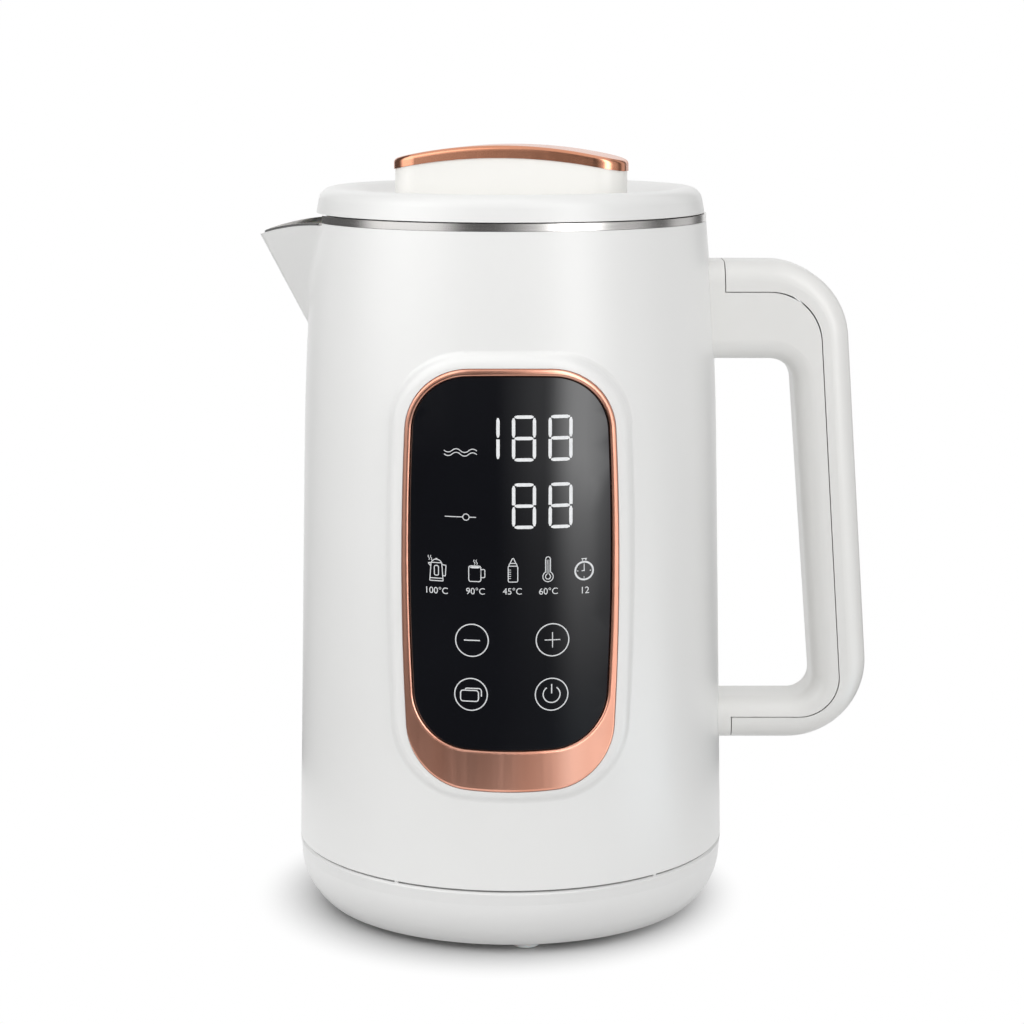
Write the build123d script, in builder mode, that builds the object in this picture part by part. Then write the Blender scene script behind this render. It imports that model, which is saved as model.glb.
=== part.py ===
from build123d import *
import os
from math import cos, radians, sin, sqrt, tan

os.makedirs("parts", exist_ok=True)

# Electric jug kettle on a power base, in millimetres with Z up. The origin is on the table under
# the jug's axis. The spout points to -X, the handle to +X, and the display faces -Y.

# Clearances
seat_play = 0.1  # between pieces that are fixed together
float_play = 0.3  # round the connector, which floats in the base
lift_play = 0.5  # between pieces that lift apart
screw_play = 0.05  # round a screw in its own hole

# Power base
base_turn = 5.0  # degrees that the base stands turned to the jug
foot_stand = 2.4
foot_pocket = 1.0
foot_edge = 0.5
foot_radius = 4.3
foot_margin = 7.3  # feet's ring inside the bowl's lower edge
foot_count = 4
base_height = 19.2
base_step = 0.4  # of the bowl's side inside the top edge
base_bowl_height = 15.0
base_bowl_inset = 6.8
base_wall = 2.2
base_bevel = 0.7
base_rim_width = 4.5
deck_depth = 3.0
deck_slope = 2.0
plate_recess = 0.4
plate_thickness = 2.2
jug_gap = 0.8
rib_count = 5
rib_length = 3.0
rib_width = 1.2

# Cord gland at the back of the base
cord_bore = 3.4
gland_wall = 1.3
gland_collar = 1.6
gland_collar_length = 1.4
gland_height = 9.0  # above the base's edge

# Round connector in the middle of the base, and its rings of contacts
connector_radius = 15.4
connector_rise = 15.0
connector_flange = 4.0
connector_flange_height = 5.0
connector_boss_width = 8.0
connector_boss_height = 2.0
connector_edge = 1.2
contact_pin_radius = 2.0
contact_ring_radii = [8.4, 12.4]
contact_thickness = 0.8
contact_length = 8.0
contact_slot_width = 2.4
contact_slot_depth = 7.5
leaf_thickness = 0.4
leaf_height = 5.2
leaf_arc = 40.0  # degrees

# Jug body
body_radius = 70.35
body_height = 203.0
shoulder_inset = 2.95  # of the shoulder inside the foot
shoulder_drop = 73.0  # below the rim
rim_inset = 7.2  # of the rim inside the foot
body_wall = 2.2
body_ledge_width = 3.3
body_ledge_height = 2.0

# Spout
spout_length = 18.1  # past the rim
spout_drop = 4.0  # of the lip, from the rim to the tip
spout_lean = 27.5  # degrees of the keel from upright
spout_flare = 40.5  # degrees of each side from the spout's middle
spout_tip_radius = 5.0
spout_root_inset = 8.8  # inside the rim, like the next two
lip_root_inset = 3.8
spout_apex_inset = 4.8
spout_wall = 2.4
lining_gap = 0.25
lining_wall = 1.0
lip_stand = 0.7  # steel lip above the white spout
spout_blend = 4.0

# Steel vessel
vessel_wall = 0.8
vessel_corner = 9.0
vessel_taper = 2.5
vessel_neck_step = 2.4
vessel_neck_drop = 28.0
mouth_inset = 3.4  # of the mouth inside the rim
mouth_depth = 18.0
rim_band = 2.4
rim_gasket_width = 1.0

# Heater under the vessel
heater_margin = 10.5  # inside the vessel's floor
heater_thickness = 3.2
element_inset = 8.0  # of the ring inside the heater plate
element_radius = 3.2
element_arc = 300.0  # degrees
element_pin_radius = 1.6
element_pin_length = 6.0
element_wall = 2.6
element_bed = 5.4
element_pin_inset = 5.0  # degrees from the element's ends
cutout_radius = 7.0
cutout_height = 7.0
probe_radius = 2.8
probe_length = 11.0
vessel_height = 32.5  # vessel's underside above the jug's bottom edge

# Underside of the jug
cover_recess = 0.5
cover_play = 0.3
cover_thickness = 2.4
stud_offset = 5.0  # outside the heater plate
stud_count = 3
stud_turn = 90.0  # degrees
stud_radius = 2.8
socket_wall = 6.0
socket_flange = 5.0
socket_flange_height = 2.0
socket_headroom = 3.0
socket_roof = 3.0
tab_length = 7.0
tab_width = 6.3
tab_count = 3
tab_turn = 30.0  # degrees

# Screws
screw_radius = 1.5
screw_head_radius = 3.0
screw_head_height = 2.0
screw_length = 9.0
screw_boss_wall = 1.9
base_screw_ring = 44.0
base_screw_count = 4
base_screw_turn = 45.0  # degrees from the base's front

# Control board in the jug's foot
board_length = 50.0
board_depth = 26.0
board_thickness = 1.6
board_height = 7.0  # above the bottom cover
board_margin = 3.5
relay_size = (16.0, 12.0, 10.5)
transformer_size = (16.0, 12.0, 10.5)
capacitor_radius = 3.2
capacitor_height = 9.0
board_part_gap = 1.5
component_edge = 0.6

# Display panel: frame, glass, and the tray and board behind
panel_rise = 31.7  # above the jug's bottom edge
panel_drop = 40.6  # below the rim
panel_stands = (1.6, 2.6)  # proud of the body, at the bottom and the top
frame_half_widths = (31.0, 33.4, 31.2)  # at the top, middle and bottom
frame_bows = (0.9, 2.6)  # of the upper and lower ends
frame_corner = 20.0
frame_depth = 2.4
frame_edge = 0.9
chin_height = 13.0
brow_height = 2.3
frame_borders = (2.1, 2.5, 2.3)  # at the top, middle and bottom
glass_bows = (1.2, 1.7)
glass_corner = 17.5
glass_set = 0.5
glass_thickness = 1.7
glass_edge = 0.25
collar_width = 4.6
collar_set = 0.5
collar_round = 4.2
collar_blend = 2.0
window_width = 45.0
window_margin = 6.1  # below the glass's ends
window_corner = 5.0
tray_wall = 1.6
display_depth = 9.4  # of the board's back behind the panel's upper edge
display_board_thickness = 1.4
display_board_margin = (3.5, 3.0)  # inside the window
digit_width = 30.0
digit_height = 17.0
digit_centre = 5.0
digit_depth = 2.6
icon_width = 36.0
icon_height = 11.0
icon_depth = 2.4
key_spread = 11.85  # of each key from the middle pair's centre
key_centre = 0.25
key_pad_radius = 4.5
cable_width = 12.0
cable_thickness = 0.8
cable_bend = 2.7
cable_step = 6.0
board_corner = 1.5
row_shares = (0.214, 0.094, 0.103, 0.198, 0.137)  # of the glass's free height, above each row

# Handle: a D-shaped loop, cut along a seam into grip and cover
handle_rise = 32.7  # above the jug's bottom edge
handle_drop = 12.8  # below the rim
handle_upper_arm = 31.5
handle_lower_arm = 13.7
handle_reach = (37.15, 48.65)  # past the jug's foot, at the loop's top and bottom
handle_room = (20.75, 29.85)
handle_outer_corners = (26.0, 25.5)
handle_inner_corners = (8.0, 7.0)
handle_half_depth = 12.5
handle_round = 6.4
cover_drop = 9.5
cover_rise = 7.6
cover_reach = (28.85, 38.85)
cover_corners = (17.0, 13.0)
cover_root = (-1.85, 3.15)
cover_seam = 0.3
handle_screw_length = 14.0
handle_screw_spread = 6.0
upper_screw_drop = 21.2
lower_screw_rise = 10.0

# Lid
lid_turn = -14.0  # degrees that the lid stands turned to the jug
lid_step = 0.6  # of the lid inside the rim
lid_draft = 0.8
lid_crest_inset = 4.9
lid_height = 8.0
lid_crest_height = 3.8
lid_dish_width = 16.2  # of the slope into the dish
lid_dish_depth = 3.4
lid_wall = 2.2
lid_crest_wall = 2.9
lid_stand = 0.35
plug_gap = 2.8  # to the vessel's mouth
plug_depth = 10.0
plug_wall = 2.0
plug_side = 2.2
plug_corner = 2.5
seal_height = 6.6
seal_lip = 1.2
seal_top_gap = 0.6
knob_length = 75.9
knob_thickness = 20.0
knob_corner = 8.6
knob_end_height = 8.6  # above the dish
knob_arch = 4.1
trim_overhang = 0.4
trim_end_height = 3.3
trim_arch_gain = 0.7
trim_round = 1.6
lid_screw_spread = 24.0
lid_screw_length = 9.0
seal_groove = 0.8

# Sizes that follow from the ones above
rim_radius = body_radius - rim_inset
shoulder_radius = body_radius - shoulder_inset
base_top_radius = body_radius
base_side_radius = base_top_radius - base_step
base_edge_radius = base_side_radius - base_bowl_inset
foot_ring = base_edge_radius - foot_margin
spout_reach = rim_radius + spout_length
spout_root = rim_radius - spout_root_inset
lip_root = rim_radius - lip_root_inset
spout_apex_radius = rim_radius - spout_apex_inset
mouth_radius = rim_radius - mouth_inset
vessel_neck_radius = mouth_radius - vessel_neck_step
vessel_floor_radius = vessel_neck_radius - vessel_taper
heater_radius = vessel_floor_radius - heater_margin
element_ring = heater_radius - element_inset
stud_ring = heater_radius + stud_offset
cutout_offset = (probe_radius + element_ring - element_radius - element_wall) / 2
lid_radius = rim_radius - lid_step
lid_crest_radius = lid_radius - lid_crest_inset
lid_dish_radius = lid_crest_radius - lid_dish_width
plug_radius = mouth_radius - plug_gap
plug_inner = plug_radius - plug_side
handle_outer = [body_radius + reach for reach in handle_reach]
handle_inner = [body_radius + reach for reach in handle_room]
cover_outer = [body_radius + reach for reach in cover_reach]
cover_start = [body_radius + reach for reach in cover_root]
glass_half_widths = [half - border for half, border in zip(frame_half_widths, frame_borders)]

# Heights that follow
base_low = foot_stand
base_top = base_low + base_height
bowl_top = base_low + base_bowl_height
deck_z = base_top - deck_depth
deck_under = deck_z - base_wall
plate_low = base_low + plate_recess
plate_top = plate_low + plate_thickness
pad_top = plate_top + screw_head_height
base_screw_seat = plate_low + screw_head_height
jug_low = base_top + jug_gap
cover_low = jug_low + cover_recess
cover_top = cover_low + cover_thickness
body_top = jug_low + body_height
shoulder_z = body_top - shoulder_drop
rim_top = body_top + rim_band
vessel_low = jug_low + vessel_height
heater_low = vessel_low - heater_thickness
connector_top = deck_z + connector_rise
flange_top = deck_under - float_play
flange_low = flange_top - connector_flange_height
socket_ceiling = connector_top + socket_headroom
socket_top = socket_ceiling + socket_roof
board_low = cover_top + board_height
board_top = board_low + board_thickness
panel_low = jug_low + panel_rise
panel_high = body_top - panel_drop
glass_low = panel_low + chin_height
glass_high = panel_high - brow_height
glass_middle = (glass_low + glass_high) / 2
window_height = glass_high - glass_low - 2 * window_margin
display_board_width = window_width - 2 * display_board_margin[0]
display_board_height = window_height - 2 * display_board_margin[1]
display_low = glass_middle - display_board_height / 2
key_width = 2 * key_pad_radius
row_heights = (digit_height, digit_height, icon_height, key_width, key_width)
free_height = glass_high - glass_low - sum(row_heights)
row_centres = [
    glass_high - free_height * sum(row_shares[: row + 1]) - sum(row_heights[:row]) - row_heights[row] / 2
    for row in range(len(row_heights))
]
digit_rows = row_centres[0:2]
icon_row = row_centres[2]
key_rows = row_centres[3:5]
key_columns = (key_centre - key_spread, key_centre + key_spread)
handle_low = jug_low + handle_rise
handle_top = body_top - handle_drop
upper_screw_height = handle_top - upper_screw_drop
lower_screw_height = handle_low + lower_screw_rise
lid_low = rim_top + lid_stand
lid_top = lid_low + lid_height
dish_z = lid_top - lid_dish_depth
base_front = base_turn - 90.0
base_screw_start = base_front + base_screw_turn
socket_bore = connector_radius + lift_play
socket_radius = socket_bore + socket_wall
gland_length = base_wall + base_rim_width
board_limit = sqrt((body_radius - body_wall) ** 2 - (board_length / 2) ** 2)
board_offset = (socket_radius + board_limit) / 2
board_row = board_depth / 2 - board_margin - relay_size[1] / 2 - board_offset
board_screw_pitch = (board_length - 2 * board_margin, board_depth - 2 * board_margin)


def polar(radius, angle, z=0.0):
    return (radius * cos(radians(angle)), radius * sin(radians(angle)), z)


def side_radius(z):
    # Radius of the jug's outer side at a height
    with BuildLine() as side:
        taper = Line((body_radius, jug_low), (shoulder_radius, shoulder_z))
        TangentArc(taper @ 1, (rim_radius, body_top), tangent=taper % 1)
    level = Edge.make_line((0, z), (2 * body_radius, z))
    return max(point.X for edge in side.edges() for point in edge.intersect(level) or [])


def wall_reach(y, z):
    # How far along X a screw head can go before its rim meets the inside of the body
    radius = side_radius(z + screw_head_radius) - body_wall
    return sqrt(radius**2 - (abs(y) + screw_head_radius) ** 2)


def body_solid(inset):
    # The jug's round side, brought in by the inset: a straight taper that turns into an arc
    with BuildPart() as solid:
        with BuildSketch(Plane.XZ):
            with BuildLine():
                taper = Line((body_radius - inset, jug_low), (shoulder_radius - inset, shoulder_z))
                shoulder = TangentArc(taper @ 1, (rim_radius - inset, body_top), tangent=taper % 1)
                Polyline(shoulder @ 1, (0, body_top), (0, jug_low), taper @ 0)
            make_face()
        revolve(axis=Axis.Z)
    return solid.part


def vessel_solid(growth, top):
    # The vessel's inner form, grown by the wall for its outer form
    with BuildPart() as solid:
        with BuildSketch(Plane.XZ) as section:
            with BuildLine():
                floor = vessel_low + vessel_wall - growth
                Polyline(
                    (0, floor),
                    (vessel_floor_radius + growth, floor),
                    (vessel_neck_radius + growth, body_top - vessel_neck_drop),
                    (mouth_radius + growth, body_top - mouth_depth),
                    (mouth_radius + growth, top),
                    (0, top),
                    close=True,
                )
            make_face()
            corner = section.vertices().group_by(Axis.Y)[0].sort_by(Axis.X)[-1]
            fillet(corner, vessel_corner + growth)
        revolve(axis=Axis.Z)
    return solid.part


def spout_solid(inset):
    # A cone with a rounded V for its mouth, which runs down to a point inside the body
    rise = 2 * spout_drop
    tip_z = body_top - spout_drop
    mouth_z = tip_z + rise
    apex_z = tip_z - (spout_reach - spout_apex_radius) / tan(radians(spout_lean))
    tip = spout_reach + rise * tan(radians(spout_lean))
    point = tip + spout_tip_radius * (1 / sin(radians(spout_flare)) - 1)
    half_width = (point - spout_root) * tan(radians(spout_flare))
    back = spout_root - spout_tip_radius - spout_wall - lining_wall - vessel_wall
    with BuildPart() as solid:
        with BuildSketch(Plane.XY.offset(mouth_z)) as mouth:
            with BuildLine():
                FilletPolyline(
                    (inset - point, 0),
                    (inset - spout_root, half_width),
                    (inset - back, half_width),
                    (inset - back, -half_width),
                    (inset - spout_root, -half_width),
                    radius=[spout_tip_radius, 0, 0, 0, 0],
                    close=True,
                )
            make_face()
        loft([mouth.sketch.face(), Vertex(inset - spout_apex_radius, 0, apex_z)])
    return solid.part


def above_lip(drop):
    # Everything above the spout's lip, which bows down from the rim to the tip
    reach = spout_reach + 2 * spout_tip_radius
    high = rim_top + spout_drop
    with BuildPart() as solid:
        with BuildSketch(Plane.XZ):
            with BuildLine():
                lip = TangentArc(
                    (-lip_root, body_top - drop),
                    (-spout_reach, body_top - spout_drop - drop),
                    tangent=(-1, 0),
                )
                Polyline(
                    lip @ 1,
                    (-reach, body_top - 2 * spout_drop - drop),
                    (-reach, high),
                    (-lip_root, high),
                    lip @ 0,
                )
            make_face()
        extrude(amount=lip_root, both=True)
    return solid.part


def panel_solid(inset):
    # The panel's face: a slim cone that stands a little proud of the body
    slope = (panel_high_radius - panel_low_radius) / (panel_high - panel_low)
    margin = 4 * collar_width
    low_radius = panel_low_radius - slope * margin - inset
    high_radius = panel_high_radius + slope * margin - inset
    with BuildPart() as solid:
        with BuildSketch(Plane.XZ):
            with BuildLine():
                Polyline(
                    (0, panel_low - margin),
                    (low_radius, panel_low - margin),
                    (high_radius, panel_high + margin),
                    (0, panel_high + margin),
                    close=True,
                )
            make_face()
        revolve(axis=Axis.Z)
    return solid.part


def panel_block(low, high, half_widths, bows, corner, growth):
    # A rounded outline with bowed sides and ends, seen from the front, pushed through to the front
    top, middle, bottom = [half + growth for half in half_widths]
    low, high = low - growth, high + growth
    low_end, high_end = low + bows[1], high - bows[0]
    with BuildPart() as solid:
        with BuildSketch(Plane.XZ) as outline:
            with BuildLine():
                ThreePointArc((-top, high_end), (0, high), (top, high_end))
                ThreePointArc((top, high_end), (middle, (low + high) / 2), (bottom, low_end))
                ThreePointArc((bottom, low_end), (0, low), (-bottom, low_end))
                ThreePointArc((-bottom, low_end), (-middle, (low + high) / 2), (-top, high_end))
            make_face()
            fillet(outline.vertices(), corner + growth)
        extrude(amount=body_radius + 4 * collar_width)
    return solid.part


def window_block(growth, back):
    with BuildPart() as solid:
        with BuildSketch(Plane.XZ.offset(back)):
            with Locations((0, glass_middle)):
                RectangleRounded(
                    window_width + 2 * growth, window_height + 2 * growth, window_corner + growth
                )
        extrude(amount=body_radius)
    return solid.part


def screws(places, length):
    # Pan-head screws in one group; each plane lies under the head and points along the shank
    with BuildPart() as group:
        for place in places:
            with BuildSketch(place):
                Circle(screw_radius)
            extrude(amount=length)
            with BuildSketch(place):
                Circle(screw_head_radius)
            extrude(amount=-screw_head_height)
    return group.part


# The panel's face and the board behind it, which follow the jug's side
panel_low_radius = side_radius(panel_low) + panel_stands[0]
panel_high_radius = side_radius(panel_high) + panel_stands[1]
display_board_offset = panel_high_radius - display_depth
display_front = display_board_offset + display_board_thickness

# Shared forms
body_outer = body_solid(0)
body_inner = body_solid(body_wall)
spout_outer = spout_solid(0)
spout_inner = spout_solid(spout_wall)
lining_outer = spout_solid(spout_wall + lining_gap)
lining_inner = spout_solid(spout_wall + lining_gap + lining_wall)
vessel_outer = vessel_solid(vessel_wall, rim_top)
vessel_inner = vessel_solid(0, rim_top + rim_band)
above_white_lip = above_lip(lip_stand)
above_steel_lip = above_lip(0)
panel_bed = panel_solid(frame_depth + seat_play)
frame_block = panel_block(panel_low, panel_high, frame_half_widths, frame_bows, frame_corner, 0)
frame_pocket = panel_block(panel_low, panel_high, frame_half_widths, frame_bows, frame_corner, seat_play)
glass_opening = panel_block(glass_low, glass_high, glass_half_widths, glass_bows, glass_corner, seat_play)
glass_block = panel_block(glass_low, glass_high, glass_half_widths, glass_bows, glass_corner, 0)
tray_hollow = panel_solid(frame_depth + seat_play + tray_wall)
window_cut = window_block(0, display_board_offset - display_board_thickness)

# Screw places
handle_screw_places = [
    (-handle_screw_spread, upper_screw_height),
    (handle_screw_spread, upper_screw_height),
    (0, lower_screw_height),
]
base_screw_planes = [
    Plane(polar(base_screw_ring, base_screw_start + step * 360 / base_screw_count, base_screw_seat))
    for step in range(base_screw_count)
]
stud_planes = [
    Plane(polar(stud_ring, stud_turn + step * 360 / stud_count, cover_low + screw_head_height))
    for step in range(stud_count)
]
handle_screw_planes = [
    Plane((wall_reach(y, height) - seat_play, y, height), x_dir=(0, 1, 0), z_dir=(1, 0, 0))
    for y, height in handle_screw_places
]
board_screw_planes = [
    Plane((x * board_screw_pitch[0], y * board_screw_pitch[1] - board_offset, board_top), z_dir=(0, 0, -1))
    for x in (-0.5, 0.5)
    for y in (-0.5, 0.5)
]
knob_plane = Plane((0, 0, 0), x_dir=polar(1, lid_turn), z_dir=polar(1, lid_turn - 90))
lid_screw_planes = [
    Plane(polar(reach, lid_turn, dish_z - lid_wall - lid_screw_length / 2))
    for reach in (-lid_screw_spread, lid_screw_spread)
]
gland_plane = Plane(
    polar(base_side_radius + seat_play - gland_length, base_front + 180, base_low + gland_height),
    z_dir=polar(1, base_front + 180),
)

# Base housing: bowl-shaped side, dished deck and a raised ring round the connector
with BuildPart() as base_shell:
    hole = connector_radius + float_play
    boss = hole + connector_boss_width
    rim_inner = base_top_radius - base_rim_width
    with BuildSketch(Plane.XZ):
        with BuildLine():
            bowl = TangentArc((base_side_radius, bowl_top), (base_edge_radius, base_low), tangent=(0, -1))
            lining = TangentArc(
                (base_side_radius - base_wall, bowl_top),
                (base_edge_radius - base_wall, base_low),
                tangent=(0, -1),
            )
            Polyline(
                bowl @ 0,
                (base_top_radius, base_top - base_bevel),
                (base_top_radius - base_bevel, base_top),
                (rim_inner, base_top),
                (rim_inner - deck_slope, deck_z),
                (boss + connector_boss_height, deck_z),
                (boss, deck_z + connector_boss_height),
                (hole, deck_z + connector_boss_height),
                (hole, deck_under),
                (rim_inner - deck_slope - base_wall / 2, deck_under),
                (rim_inner - base_wall / 2, base_top - base_wall),
                (base_side_radius - base_wall, base_top - base_wall),
                lining @ 0,
            )
            Line(bowl @ 1, lining @ 1)
        make_face()
    revolve(axis=Axis.Z)
    with BuildSketch(Plane.XY.offset(base_top)):
        with PolarLocations(base_top_radius - base_bevel - rib_length / 2, rib_count, base_front + 180):
            Rectangle(rib_length, rib_width)
    extrude(amount=jug_gap - seat_play)
    with BuildSketch(Plane.XY.offset(pad_top)):
        with PolarLocations(base_screw_ring, base_screw_count, base_screw_start):
            Circle(screw_radius + screw_boss_wall)
    extrude(amount=deck_z - base_wall / 2 - pad_top)
    with BuildSketch(Plane.XY.offset(pad_top)):
        with PolarLocations(base_screw_ring, base_screw_count, base_screw_start):
            Circle(screw_radius + screw_play)
    extrude(amount=screw_length, mode=Mode.SUBTRACT)
    with BuildSketch(gland_plane):
        Circle(cord_bore + gland_wall + seat_play)
    extrude(amount=2 * gland_length, mode=Mode.SUBTRACT)
base_shell.part.label = "base_shell"
export_step(base_shell.part, "parts/base_shell.step")

# Bottom plate of the base: pockets for the feet and a ring that carries the connector
with BuildPart() as base_plate:
    with BuildSketch(Plane.XY.offset(plate_low)):
        Circle(base_edge_radius - base_wall - seat_play)
    extrude(amount=plate_thickness)
    with BuildSketch(Plane.XY.offset(plate_top)):
        Circle(connector_radius)
        Circle(connector_radius - 2 * base_wall, mode=Mode.SUBTRACT)
    extrude(amount=flange_low - float_play - plate_top)
    with BuildSketch(Plane.XY.offset(plate_low)):
        with PolarLocations(base_screw_ring, base_screw_count, base_screw_start):
            Circle(screw_head_radius + base_wall)
    extrude(amount=pad_top - plate_low)
    with BuildSketch(Plane.XY.offset(plate_low)):
        with PolarLocations(base_screw_ring, base_screw_count, base_screw_start):
            Circle(screw_head_radius + seat_play)
    extrude(amount=screw_head_height, mode=Mode.SUBTRACT)
    with BuildSketch(Plane.XY.offset(plate_low)):
        with PolarLocations(base_screw_ring, base_screw_count, base_screw_start):
            Circle(screw_radius + screw_play)
    extrude(amount=pad_top - plate_low, mode=Mode.SUBTRACT)
    with BuildSketch(Plane.XY.offset(plate_low)):
        with PolarLocations(foot_ring, foot_count, base_front):
            Circle(foot_radius + seat_play)
    extrude(amount=foot_pocket, mode=Mode.SUBTRACT)
base_plate.part.label = "base_plate"
export_step(base_plate.part, "parts/base_plate.step")

# Rubber feet in their pockets
with BuildPart() as base_feet:
    with BuildSketch():
        with PolarLocations(foot_ring, foot_count, base_front):
            Circle(foot_radius)
    extrude(amount=plate_low + foot_pocket)
    fillet(base_feet.edges().group_by(Axis.Z)[0], foot_edge)
base_feet.part.label = "base_feet"
export_step(base_feet.part, "parts/base_feet.step")

base_screws = screws(base_screw_planes, screw_length)
base_screws.label = "base_screws"
export_step(base_screws, "parts/base_screws.step")

# Cord gland: a bush through the back wall with a collar outside
with BuildPart() as cord_gland:
    with BuildSketch(gland_plane):
        Circle(cord_bore + gland_wall)
    extrude(amount=gland_length)
    with BuildSketch(gland_plane.offset(gland_length)):
        Circle(cord_bore + gland_wall + gland_collar)
    extrude(amount=gland_collar_length)
    fillet(cord_gland.faces().sort_by(Axis.Y)[-1].edges(), gland_collar_length / 2)
    with BuildSketch(gland_plane):
        Circle(cord_bore)
    extrude(amount=gland_length + gland_collar_length, mode=Mode.SUBTRACT)
cord_gland.part.label = "cord_gland"
export_step(cord_gland.part, "parts/cord_gland.step")

# Connector: a round post with a hole and two ring slots, held by its flange under the deck
with BuildPart() as base_connector:
    with BuildSketch(Plane.XZ):
        with BuildLine():
            Polyline(
                (0, flange_low),
                (connector_radius + connector_flange, flange_low),
                (connector_radius + connector_flange, flange_top),
                (connector_radius, flange_top),
                (connector_radius, connector_top),
                (0, connector_top),
                close=True,
            )
        make_face()
    revolve(axis=Axis.Z)
    fillet(base_connector.edges().group_by(Axis.Z)[-1], connector_edge)
    with BuildSketch(Plane.XY.offset(connector_top)):
        for ring in reversed(contact_ring_radii):
            Circle(ring + contact_slot_width / 2)
            Circle(ring - contact_slot_width / 2, mode=Mode.SUBTRACT)
        Circle(contact_pin_radius + contact_slot_width / 2)
    extrude(amount=-contact_slot_depth, mode=Mode.SUBTRACT)
base_connector.part.label = "base_connector"
export_step(base_connector.part, "parts/base_connector.step")

# Spring leaves in the hole and the slots
with BuildPart() as connector_contacts:
    slot_floor = connector_top - contact_slot_depth + seat_play
    leaf_radii = [ring - contact_slot_width / 2 + seat_play for ring in contact_ring_radii]
    leaf_radii.append(contact_pin_radius + contact_slot_width / 2 - seat_play - leaf_thickness)
    with BuildSketch(Plane.XZ):
        for radius in leaf_radii:
            with Locations((radius, slot_floor)):
                Rectangle(leaf_thickness, leaf_height, align=Align.MIN)
    revolve(axis=Axis.Z, revolution_arc=leaf_arc)
connector_contacts.part.label = "connector_contacts"
export_step(connector_contacts.part, "parts/connector_contacts.step")

# Collar of the outer shell that rises round the display panel
with BuildPart() as panel_collar:
    add(panel_block(panel_low, panel_high, frame_half_widths, frame_bows, frame_corner, collar_width))
    add(panel_solid(collar_set), mode=Mode.INTERSECT)
    fillet(panel_collar.faces().sort_by(Axis.Y)[0].edges(), collar_round)

# Pocket for the panel frame, down to its bed
with BuildPart() as panel_pocket:
    add(frame_pocket)
    add(panel_bed, mode=Mode.SUBTRACT)

# Outer shell: the white body with its spout and the raised collar of the display
with BuildPart() as outer_shell:
    add(body_outer)
    add(spout_outer)
    junction = outer_shell.edges(Select.NEW).filter_by(GeomType.BSPLINE)
    fillet(junction, spout_blend)
    split(bisect_by=Plane.XY.offset(body_top), keep=Keep.BOTTOM)
    add(panel_collar.part)
    fillet(outer_shell.edges(Select.NEW), collar_blend)
    add(body_inner, mode=Mode.SUBTRACT)
    add(spout_inner, mode=Mode.SUBTRACT)
    add(above_white_lip, mode=Mode.SUBTRACT)
    add(panel_pocket.part, mode=Mode.SUBTRACT)
    add(window_cut, mode=Mode.SUBTRACT)
    with BuildSketch(Plane.XZ):
        with Locations((body_radius - body_wall / 2, cover_top + seat_play)):
            Rectangle(body_ledge_width, body_ledge_height, align=(Align.MAX, Align.MIN))
    revolve(axis=Axis.Z)
    for place in handle_screw_planes:
        with BuildSketch(place):
            Circle(screw_radius + seat_play)
        extrude(amount=3 * body_wall, mode=Mode.SUBTRACT)
outer_shell.part.label = "outer_shell"
export_step(outer_shell.part, "parts/outer_shell.step")

# Steel vessel with its rolled rim and the lining of the spout
with BuildPart() as inner_vessel:
    add(vessel_outer)
    with BuildSketch(Plane.XZ):
        with BuildLine():
            Polyline(
                (mouth_radius, rim_top),
                (rim_radius, rim_top),
                (rim_radius, body_top + seat_play),
                (rim_radius - vessel_wall, body_top + seat_play),
                (rim_radius - vessel_wall, rim_top - vessel_wall),
                (mouth_radius, rim_top - vessel_wall),
                close=True,
            )
        make_face()
    revolve(axis=Axis.Z)
    add(lining_outer)
    add(vessel_inner, mode=Mode.SUBTRACT)
    add(lining_inner, mode=Mode.SUBTRACT)
    add(above_steel_lip, mode=Mode.SUBTRACT)
    split(bisect_by=Plane.XY.offset(rim_top), keep=Keep.BOTTOM)
inner_vessel.part.label = "inner_vessel"
export_step(inner_vessel.part, "parts/inner_vessel.step")

# Gasket between the shell's top edge and the rolled rim, open at the spout
with BuildPart() as rim_gasket:
    with BuildSketch(Plane.XZ):
        with Locations((rim_radius - body_wall + seat_play, body_top)):
            Rectangle(rim_gasket_width, rim_band - vessel_wall, align=Align.MIN)
    revolve(axis=Axis.Z)
    add(spout_inner, mode=Mode.SUBTRACT)
    add(above_white_lip, mode=Mode.SUBTRACT)
rim_gasket.part.label = "rim_gasket"
export_step(rim_gasket.part, "parts/rim_gasket.step")

# Handle loop, whole: a D with rounded edges that butts against the body's side
with BuildPart() as handle_loop:
    inside = rim_radius - body_wall
    with BuildSketch(Plane.XZ):
        with BuildLine():
            FilletPolyline(
                (inside, handle_top),
                (handle_outer[0], handle_top),
                (handle_outer[1], handle_low),
                (inside, handle_low),
                radius=[0, handle_outer_corners[0], handle_outer_corners[1], 0],
                close=True,
            )
        make_face()
        with BuildLine():
            FilletPolyline(
                (inside, handle_top - handle_upper_arm),
                (handle_inner[0], handle_top - handle_upper_arm),
                (handle_inner[1], handle_low + handle_lower_arm),
                (inside, handle_low + handle_lower_arm),
                radius=[0, handle_inner_corners[0], handle_inner_corners[1], 0],
                close=True,
            )
        make_face(mode=Mode.SUBTRACT)
    extrude(amount=handle_half_depth, both=True)
    sides = handle_loop.faces().filter_by(Axis.Y)
    ends = handle_loop.faces().filter_by(Axis.X).sort_by(Axis.X)[0:2]
    rounded = [edge for edge in sides.edges() if edge not in ends.edges()]
    fillet(rounded, handle_round)
    add(body_outer, mode=Mode.SUBTRACT)


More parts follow.
